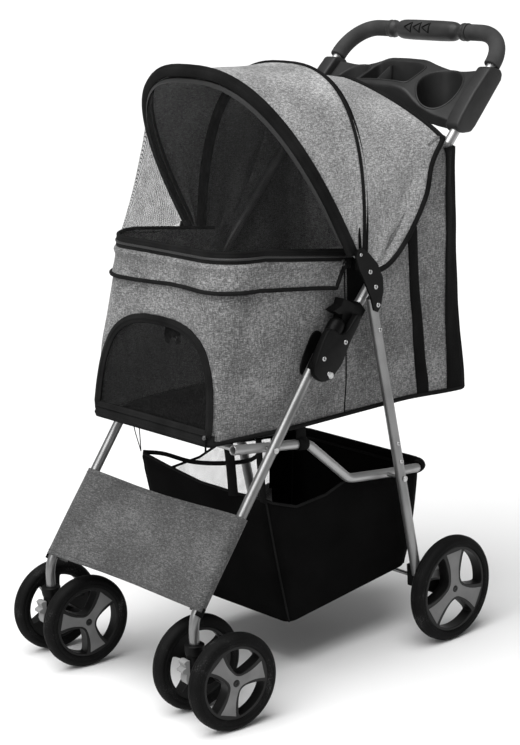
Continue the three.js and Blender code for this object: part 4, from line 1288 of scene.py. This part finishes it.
panel = thicken(surface("footrest_cloth", panel_point, 150, 26, "panel_fabric"), 0.0016)
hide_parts("footrest_panel")
panel_pieces = [
    panel,
    panel_stitch("footrest_stitch_top", 0.955),
    panel_stitch("footrest_stitch_bottom", 0.045),
    panel_tab("footrest_tab_1", 0.04),
    panel_tab("footrest_tab_2", 0.93),
]
for piece in panel_pieces:
    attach(piece, "front_frame")

# ---------------------------------------------------------------- wheels

FRONT_WHEEL = {"radius": 75, "opening": 52, "half": 13, "centre": 48.5}
REAR_WHEEL = {"radius": 88, "opening": 66, "half": 13.4, "centre": 213}
CASTER_PLACE = (176, -339)
CASTER_TRAIL = 33.7
CASTER_TURN = math.radians(-7.5)
REAR_AXLE_PLACE = (183, 88)
THIRD_TURN = 2 * math.pi / 3
FRONT_PHASES = {"left_outer": 12, "left_inner": 12, "right_outer": -13, "right_inner": 47}
REAR_PHASE = 92.5


def polar(radius, angle):
    return Vector((radius * math.cos(angle), radius * math.sin(angle)))


def window_outline(opening, middle):
    """One of the three openings between the arms of a wheel."""
    rim_half = THIRD_TURN / 2 - math.asin(0.36)
    points = [polar(opening, middle + rim_half * (2 * i / 12 - 1)) for i in range(13)]
    waist = opening * 0.44
    waist_half = THIRD_TURN / 2 - math.asin(0.2 * opening / waist)
    points.append(polar(waist, middle + waist_half))
    points.append(polar(opening * 0.26, middle))
    points.append(polar(waist, middle - waist_half))
    return corner_cut(points)


def insert_outline(opening):
    """The grey inlay: three arms that widen towards the rim and meet in smooth hollows."""
    points = []
    reach = opening - 2.5
    half = [(opening * 0.46, opening * 0.135), (opening * 0.72, opening * 0.185),
            (reach, opening * 0.275)]
    for k in range(3):
        arm = k * THIRD_TURN
        along, across = polar(1, arm), polar(1, arm + math.pi / 2)
        points.append(polar(opening * 0.17, arm - math.pi / 3))
        points.extend(along * r - across * w for r, w in half)
        points.append(along * reach - across * opening * 0.26)
        points.append(along * reach + across * opening * 0.26)
        points.extend(along * r + across * w for r, w in reversed(half))
    return corner_cut(points)


def tyre_profile(wheel):
    r, h = wheel["radius"], wheel["half"]
    seat = wheel["opening"] + 4.5
    half = [
        (seat, h - 2.2), (seat + 1.5, h - 0.8), (seat + 4, h), (r - 11.5, h), (r - 10.5, h - 0.7),
        (r - 9.5, h - 0.1), (r - 6, h - 1.2), (r - 3.2, h - 3.3), (r - 1.2, h - 6.2),
        (r - 0.2, h - 9.4), (r, 3.2), (r - 1.1, 2.6), (r - 1.1, 1.8), (r, 1.2),
    ]
    return in_metres(half + [(radius, -x) for radius, x in reversed(half)])


def wheel_spider(name, wheel, phase, face):
    """The black wheel: a disc with three openings cut through it."""
    edge = [polar(wheel["opening"] + 5.2, 2 * math.pi * i / 72) for i in range(72)]
    disc = prism(name, edge, -face, face, "rim_plastic")
    for k in range(3):
        middle = phase + (k + 0.5) * THIRD_TURN
        hole = prism("window_cutter", window_outline(wheel["opening"], middle), -face - 5,
                     face + 5, None)
        cut = disc.modifiers.new("window", "BOOLEAN")
        cut.object = hole
        cut.solver = "EXACT"
        apply_modifiers(disc)
        bpy.data.objects.remove(hole)
    disc.data.materials.clear()
    disc.data.materials.append(LOOK["rim_plastic"])
    return round_over(disc, 0.0011)


def build_wheel(body, wheel, hub_node, tyre_node, outward, place, phase, turn=0.0):
    """Tyre, black spider and grey inlay, made about the X axis and then set in place."""
    face = wheel["half"] - 3
    phase = math.radians(phase)
    disc = wheel_spider(body + "_spider", wheel, phase, face)
    outline = [Matrix.Rotation(phase, 2) @ p for p in insert_outline(wheel["opening"])]
    low, high = sorted((outward * (face - 1.5), outward * (face + 0.5)))
    inlay = round_over(prism(body + "_inlay", outline, low, high, "wheel_plastic"), 0.0005, 2, 60)
    hub_profile = [(0.1, face + 1), (5.5, face + 0.9), (6.5, face - 1), (12, -face + 2),
                   (12, -12.5), (5, -12.5), (5, -12.4), (0.1, -12.4)]
    hub = turned(body + "_boss", in_metres([(r, outward * x) for r, x in hub_profile]),
                 mm(0, 0, 0), ALONG_X, 24, "rim_plastic")
    tyre = turned(body + "_tyre", tyre_profile(wheel), mm(0, 0, 0), ALONG_X, 96, "tyre")
    fix = Matrix.Translation(place) @ Matrix.Rotation(turn, 4, "Z")
    for piece in (disc, inlay, hub, tyre):
        piece.data.transform(fix)
        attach(piece, body)
    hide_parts(hub_node)
    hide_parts(tyre_node)


for side, hand in SIDES:
    for spot, direction in (("outer", hand), ("inner", -hand)):
        offset = mm(direction * FRONT_WHEEL["centre"], CASTER_TRAIL, 0)
        offset.rotate(Matrix.Rotation(CASTER_TURN, 3, "Z"))
        place = mm(hand * CASTER_PLACE[0], CASTER_PLACE[1], FRONT_WHEEL["radius"]) + offset
        build_wheel(f"front_wheel_{side}_{spot}", FRONT_WHEEL, f"front_hub_{side}_{spot}",
                    f"front_tyre_{side}_{spot}", direction, place,
                    FRONT_PHASES[f"{side}_{spot}"], CASTER_TURN)
    place = mm(hand * REAR_WHEEL["centre"], *REAR_AXLE_PLACE)
    build_wheel(f"rear_wheel_{side}", REAR_WHEEL, f"rear_hub_{side}", f"rear_tyre_{side}", hand,
                place, REAR_PHASE)

# ---------------------------------------------------------------- handle, grip and foam

ARM_X = 174
BAR_Z = 972.5
ARM_PIVOT = (-73, 490)
ARM_DIRECTION = Vector((0, 0.9, 1)).normalized()
BAR_Y = ARM_PIVOT[0] + 0.9 * (BAR_Z - ARM_PIVOT[1])
GRIP_RADIUS = 16.9
GRIP_MARKS = (-34, -14, 6)  # places of the three raised marks along the grip
GRIP_PROFILE = [
    (0, 16.9), (30, 16.9), (50, 16.4), (56, 15.9), (60, 15), (64, 13), (67, 12.1), (72, 12.1),
    (74, 13.2), (76.5, 14.6), (79, 15), (81, 14.4), (84, 14.4), (86, 15), (87.5, 14.6), (88, 13.6),
    (88, 8.4),
]


def bent(before, corner, after, radius, steps):
    """A path from before to after, with its corner rounded to a bend."""
    into, out = (before - corner).normalized(), (after - corner).normalized()
    angle = into.angle(out)
    setback = radius / math.tan(angle / 2)
    centre = corner + (into + out).normalized() * radius / math.sin(angle / 2)
    first, last = corner + into * setback - centre, corner + out * setback - centre
    bend = sampled(lambda t: centre + first.slerp(last, t) * radius, steps)
    return [before, *bend, after]


def densified(path, step):
    """The same path with points at most a step or so apart."""
    dense = []
    for a, b in zip(path, path[1:]):
        steps = max(int((b - a).length / step), 1)
        dense.extend(a.lerp(b, i / steps) for i in range(steps))
    return dense + [path[-1]]


def on_grip(x, angle):
    return mm(x, BAR_Y - GRIP_RADIUS * math.cos(angle), BAR_Z + GRIP_RADIUS * math.sin(angle))


for side, hand in SIDES:
    arm = mm(hand * ARM_X, *ARM_PIVOT) + ARM_DIRECTION * 0.585
    path = bent(arm, mm(hand * ARM_X, BAR_Y, BAR_Z), mm(hand * 88.5, BAR_Y, BAR_Z), 0.06, 16)
    foam = cord_piece(f"foam_grip_{side}", densified(path, 0.006), 0.0135, "foam", count=28)
    round_over(foam, 0.0015, 2, 60)
    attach(foam, "handle")
    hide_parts(f"foam_sleeve_{side}")

grip_ring = [(r, -x) for x, r in reversed(GRIP_PROFILE[1:])] + [(r, x) for x, r in GRIP_PROFILE]
grip = turned("centre_grip_shell", in_metres(grip_ring), mm(0, BAR_Y, BAR_Z), ALONG_X, 48,
              "grip_plastic")
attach(grip, "handle")
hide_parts("centre_grip")
for k, x in enumerate(GRIP_MARKS):
    corners = [(x - 8, 0.35), (x + 7, 0.85), (x + 7, -0.15)]
    line = []
    for (xa, aa), (xb, ab) in zip(corners, corners[1:] + corners[:1]):
        line.extend(on_grip(lerp(xa, xb, i / 10), lerp(aa, ab, i / 10)) for i in range(10))
    relief = cord_piece(f"grip_relief_{k + 1}", line, 0.0013, "black_plastic", closed=True,
                        count=8, slot="grip_plastic")
    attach(relief, "handle")

# ---------------------------------------------------------------- cup tray

TRAY_FRONT, TRAY_REAR = 234, 312
TRAY_HALF = 165
TRAY_SKIRT, TRAY_HEEL = 0.16, 0.92  # where the deck starts and ends between front and rear
TRAY_FRONT_LINE = [(0, 896), (40, 895), (66, 889), (90, 868), (124, 855), (165, 846)]
TRAY_REAR_LINE = [(0, 930), (42, 929), (66, 921), (98, 914), (124, 914), (165, 919)]
SKIRT_LINE = [(0, 869), (45, 866), (70, 857), (96, 846), (126, 835), (165, 830)]
CUP_PLACE = (104, 273)
CUP_RADIUS = 37
CUP_FLOOR = 836
BIN_HALF, BIN_FRONT, BIN_REAR, BIN_FLOOR = 54, 244, 300, 862
BIN_MIDDLE, BIN_REACH = (BIN_FRONT + BIN_REAR) / 2, (BIN_REAR - BIN_FRONT) / 2
BIN_ROUNDNESS = 7
DIVIDER = [(BIN_FRONT + 3, BIN_FLOOR), (BIN_REAR - 3, BIN_FLOOR), (BIN_REAR - 1, 918),
           (BIN_REAR - 8, 916), (BIN_FRONT + 10, 893), (BIN_FRONT + 1, 893)]
CHEEK = [(222, 840), (226, 832), (236, 826), (256, 826), (266, 834), (328, 902), (331, 912),
         (326, 920), (314, 924), (300, 925), (262, 889), (232, 855)]
RIDGE = [(162, 232, 848), (163, 262, 877), (163, 314, 922)]


def line_height(points, x):
    """Height along a drawn line, eased so that it has no corners."""
    spread = [table(points, abs(x) + d) for d in (-9, -4.5, 0, 4.5, 9)]
    return sum(spread) / len(spread)


def tray_top(x, y):
    f = (y - TRAY_FRONT) / (TRAY_REAR - TRAY_FRONT)
    return lerp(line_height(TRAY_FRONT_LINE, x), line_height(TRAY_REAR_LINE, x), f)


def bin_outline(angle, inset):
    across, along = squarish(angle, BIN_ROUNDNESS)
    return across * (BIN_HALF - inset), BIN_MIDDLE + along * (BIN_REACH - inset)


def cup_outline(hand, angle, inset):
    radius = CUP_RADIUS - inset
    return (hand * CUP_PLACE[0] + radius * math.cos(angle),
            CUP_PLACE[1] + radius * math.sin(angle))


def tray_deck(u, v):
    x = lerp(-TRAY_HALF, TRAY_HALF, u)
    if v < TRAY_SKIRT:
        f = 1 - v / TRAY_SKIRT
        lip = 3 * math.sin(math.pi / 2 * min(f * 5, 1))
        z = lerp(tray_top(x, TRAY_FRONT), line_height(SKIRT_LINE, x), f)
        return mm(x, TRAY_FRONT - lip + 4 * f, z)
    if v > TRAY_HEEL:
        f = (v - TRAY_HEEL) / (1 - TRAY_HEEL)
        return mm(x, TRAY_REAR + 2 * math.sin(math.pi / 2 * f), tray_top(x, TRAY_REAR) - 14 * f)
    y = lerp(TRAY_FRONT, TRAY_REAR, (v - TRAY_SKIRT) / (TRAY_HEEL - TRAY_SKIRT))
    return mm(x, y, tray_top(x, y))


def off_hollows(point):
    x, y, _ = point * 1000
    if y < TRAY_FRONT + 1 or y > TRAY_REAR - 1:
        return True
    in_cup = math.hypot(abs(x) - CUP_PLACE[0], y - CUP_PLACE[1]) < CUP_RADIUS + 1
    across, along = abs(x) / (BIN_HALF + 1), abs(y - BIN_MIDDLE) / (BIN_REACH + 1)
    in_bin = across ** BIN_ROUNDNESS + along ** BIN_ROUNDNESS < 1
    return not (in_cup or in_bin)


def hollow(name, outline, floor_z, draft):
    """A moulded well: a rounded lip on the deck, a drafted wall and a dished floor."""
    def point(u, v):
        angle = -2 * math.pi * u
        if v < 0.12:
            f = v / 0.12
            x, y = outline(angle, lerp(-2.4, 0.6, f))
            return mm(x, y, tray_top(x, y) + 1.3 * math.sin(math.pi * f) + 0.1)
        if v < 0.8:
            f = (v - 0.12) / 0.68
            x, y = outline(angle, 0.6 + draft * f)
            return mm(x, y, lerp(tray_top(x, y) - 0.2, floor_z + 5, f))
        f = (v - 0.8) / 0.2
        x, y = outline(angle, 0.6 + draft)
        near, far = outline(angle, 0), outline(angle + math.pi, 0)
        x, y = lerp(x, (near[0] + far[0]) / 2, f), lerp(y, (near[1] + far[1]) / 2, f)
        return mm(x, y, floor_z + 5 * (1 - min(f * 5, 1)) ** 2)
    shell = surface(name, point, 72, 40, "tray_plastic", closed=True)
    return apply_modifiers(thicken(shell, 0.0024, offset=1))


deck = surface("tray_deck", tray_deck, 170, 60, "tray_plastic", keep=off_hollows)
tray_parts = [apply_modifiers(thicken(deck, 0.0028, offset=-1))]
for side, hand in SIDES:
    tray_parts.append(hollow(f"tray_cup_{side}", partial(cup_outline, hand), CUP_FLOOR, 3.5))
tray_parts.append(hollow("tray_bin", bin_outline, BIN_FLOOR, 2.5))
tray_parts.append(prism("tray_divider", DIVIDER, -27, -24.4, "tray_plastic"))
for side, hand in SIDES:
    low, high = sorted((hand * 160, hand * 188.5))
    cheek = prism(f"tray_cheek_{side}", CHEEK, low, high, "tray_plastic")
    tray_parts.append(apply_modifiers(round_over(cheek, 0.005, 4, 30)))
    ridge = smooth_line([mm(hand * x, y, z) for x, y, z in RIDGE], 24)
    tray_parts.append(cord_piece(f"tray_ridge_{side}", ridge, 0.0019, "tray_plastic"))
tray = joined("cup_tray_moulding", tray_parts, "tray_plastic")
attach(tray, "handle")
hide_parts("cup_tray")

# ---------------------------------------------------------------- rivets and latch details


def rear_leg_y(z):
    return lerp(23, 88, (585 - z) / (585 - 292))


# Each rivet's place on the left side, and its size.
RIVETS = {
    "front_frame": [(198, -40, 536, 1), (198, -86, 518, 1), (198, -76, 493, 1)],
    "handle": [(206, -14, 668, 0.7), (206, 6, 639, 1), (206, 18, 614, 1), (206, 23, 585, 1)],
    "rear_legs": [(x, rear_leg_y(z), z, 1) for x, z in ((201, 544), (199.9, 353), (199.8, 322))],
}
RIVET_PROFILE = [(1.3, -0.5), (3.9, -0.5), (3.9, 0.3), (3.3, 1.2), (2.3, 1.5), (1.5, 1.0)]
LATCH_OUTLINE = [
    (-99, 488), (-107, 500), (-99, 522), (-85, 548), (-74, 562), (-64, 560), (-50, 549),
    (-36, 551), (-22, 566), (-12, 576), (-5, 572), (-8, 561), (-22, 543), (-34, 527),
    (-46, 504), (-55, 496), (-71, 484), (-87, 481),
]
LATCH_INNER_OUTLINE = [
    (-100, 489), (-104, 500), (-96, 522), (-82, 545), (-72, 554), (-60, 552), (-50, 540),
    (-46, 510), (-55, 498), (-71, 486), (-87, 484),
]
LATCH_SLEEVE_PROFILE = [
    (0.1, 0), (9, 0), (12.6, 1.5), (13.4, 8), (13.8, 76), (12.8, 85), (9.5, 90), (4, 92), (0.1, 92),
]
LATCH_SLEEVE_START = 496
LEG_DIRECTION = Vector((0, LEG_LEAN, 1))
SLIDER_PROFILE = [(0.2, 0), (3.2, 0), (4, 1.4), (4, 4), (2.6, 5.6), (0.2, 6)]


def latch_plate(outline, hand, near, far, edge):
    """A plate of the latch housing between two distances from the middle, with rounded edges."""
    low, high = sorted((hand * near, hand * far))
    rounded = corner_cut([Vector(p) for p in outline], 1)
    plate = prism("latch_plate", rounded, low, high, "black_plastic")
    return apply_modifiers(round_over(plate, edge, 3, 35))


def puller(name, place, hang, size):
    """A cast slider with a webbing pull hanging from it."""
    side = hang.cross(Vector((0, 0, 1)))
    slider = turned(name + "_slider", in_metres(SLIDER_PROFILE, size), place, side, 14,
                    "black_metal")
    end = place + hang * 0.022 * size
    pull = swept(name + "_pull", sampled(lambda t: place.lerp(end, t), 4),
                 tape_section(5, 1.6, size), "webbing", up=lambda i: side)
    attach(joined(name, [slider, pull], "steel"), "seat_frame")


for body, places in RIVETS.items():
    for side, hand in SIDES:
        heads = []
        for x, y, z, size in places:
            profile = [(r * size, hand * h) for r, h in RIVET_PROFILE]
            heads.append(turned("rivet", in_metres(profile), mm(hand * x, y, z), ALONG_X, 20,
                                "steel"))
        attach(joined(f"rivets_{body}_{side}", heads, "steel"), body)

for side, hand in SIDES:
    sleeve_place = mm(hand * (LEG_X + 6), leg_y(LATCH_SLEEVE_START) + 3, LATCH_SLEEVE_START)
    parts = [
        latch_plate(LATCH_OUTLINE, hand, 186, 198, 0.0034),
        latch_plate(LATCH_INNER_OUTLINE, hand, 159.5, 163.5, 0.0012),
        turned("latch_sleeve", in_metres(LATCH_SLEEVE_PROFILE), sleeve_place, LEG_DIRECTION, 28,
               "black_plastic"),
    ]
    housing = joined(f"latch_housing_{side}", parts, "black_plastic")
    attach(housing, "front_frame")
    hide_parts(f"hinge_housing_{side}")

puller("door_zip_puller", mm(133, front_y(418) - 5, 419), Vector((0.05, -0.1, -1)), 1.0)
for side, hand in SIDES:
    puller(f"rim_zip_puller_{side}", bag_wall(hand * 0.47, 652, 6),
           Vector((hand * 0.1, -0.35, -0.9)), 0.9)

# ---------------------------------------------------------------- bounds of the shown pieces

low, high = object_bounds()
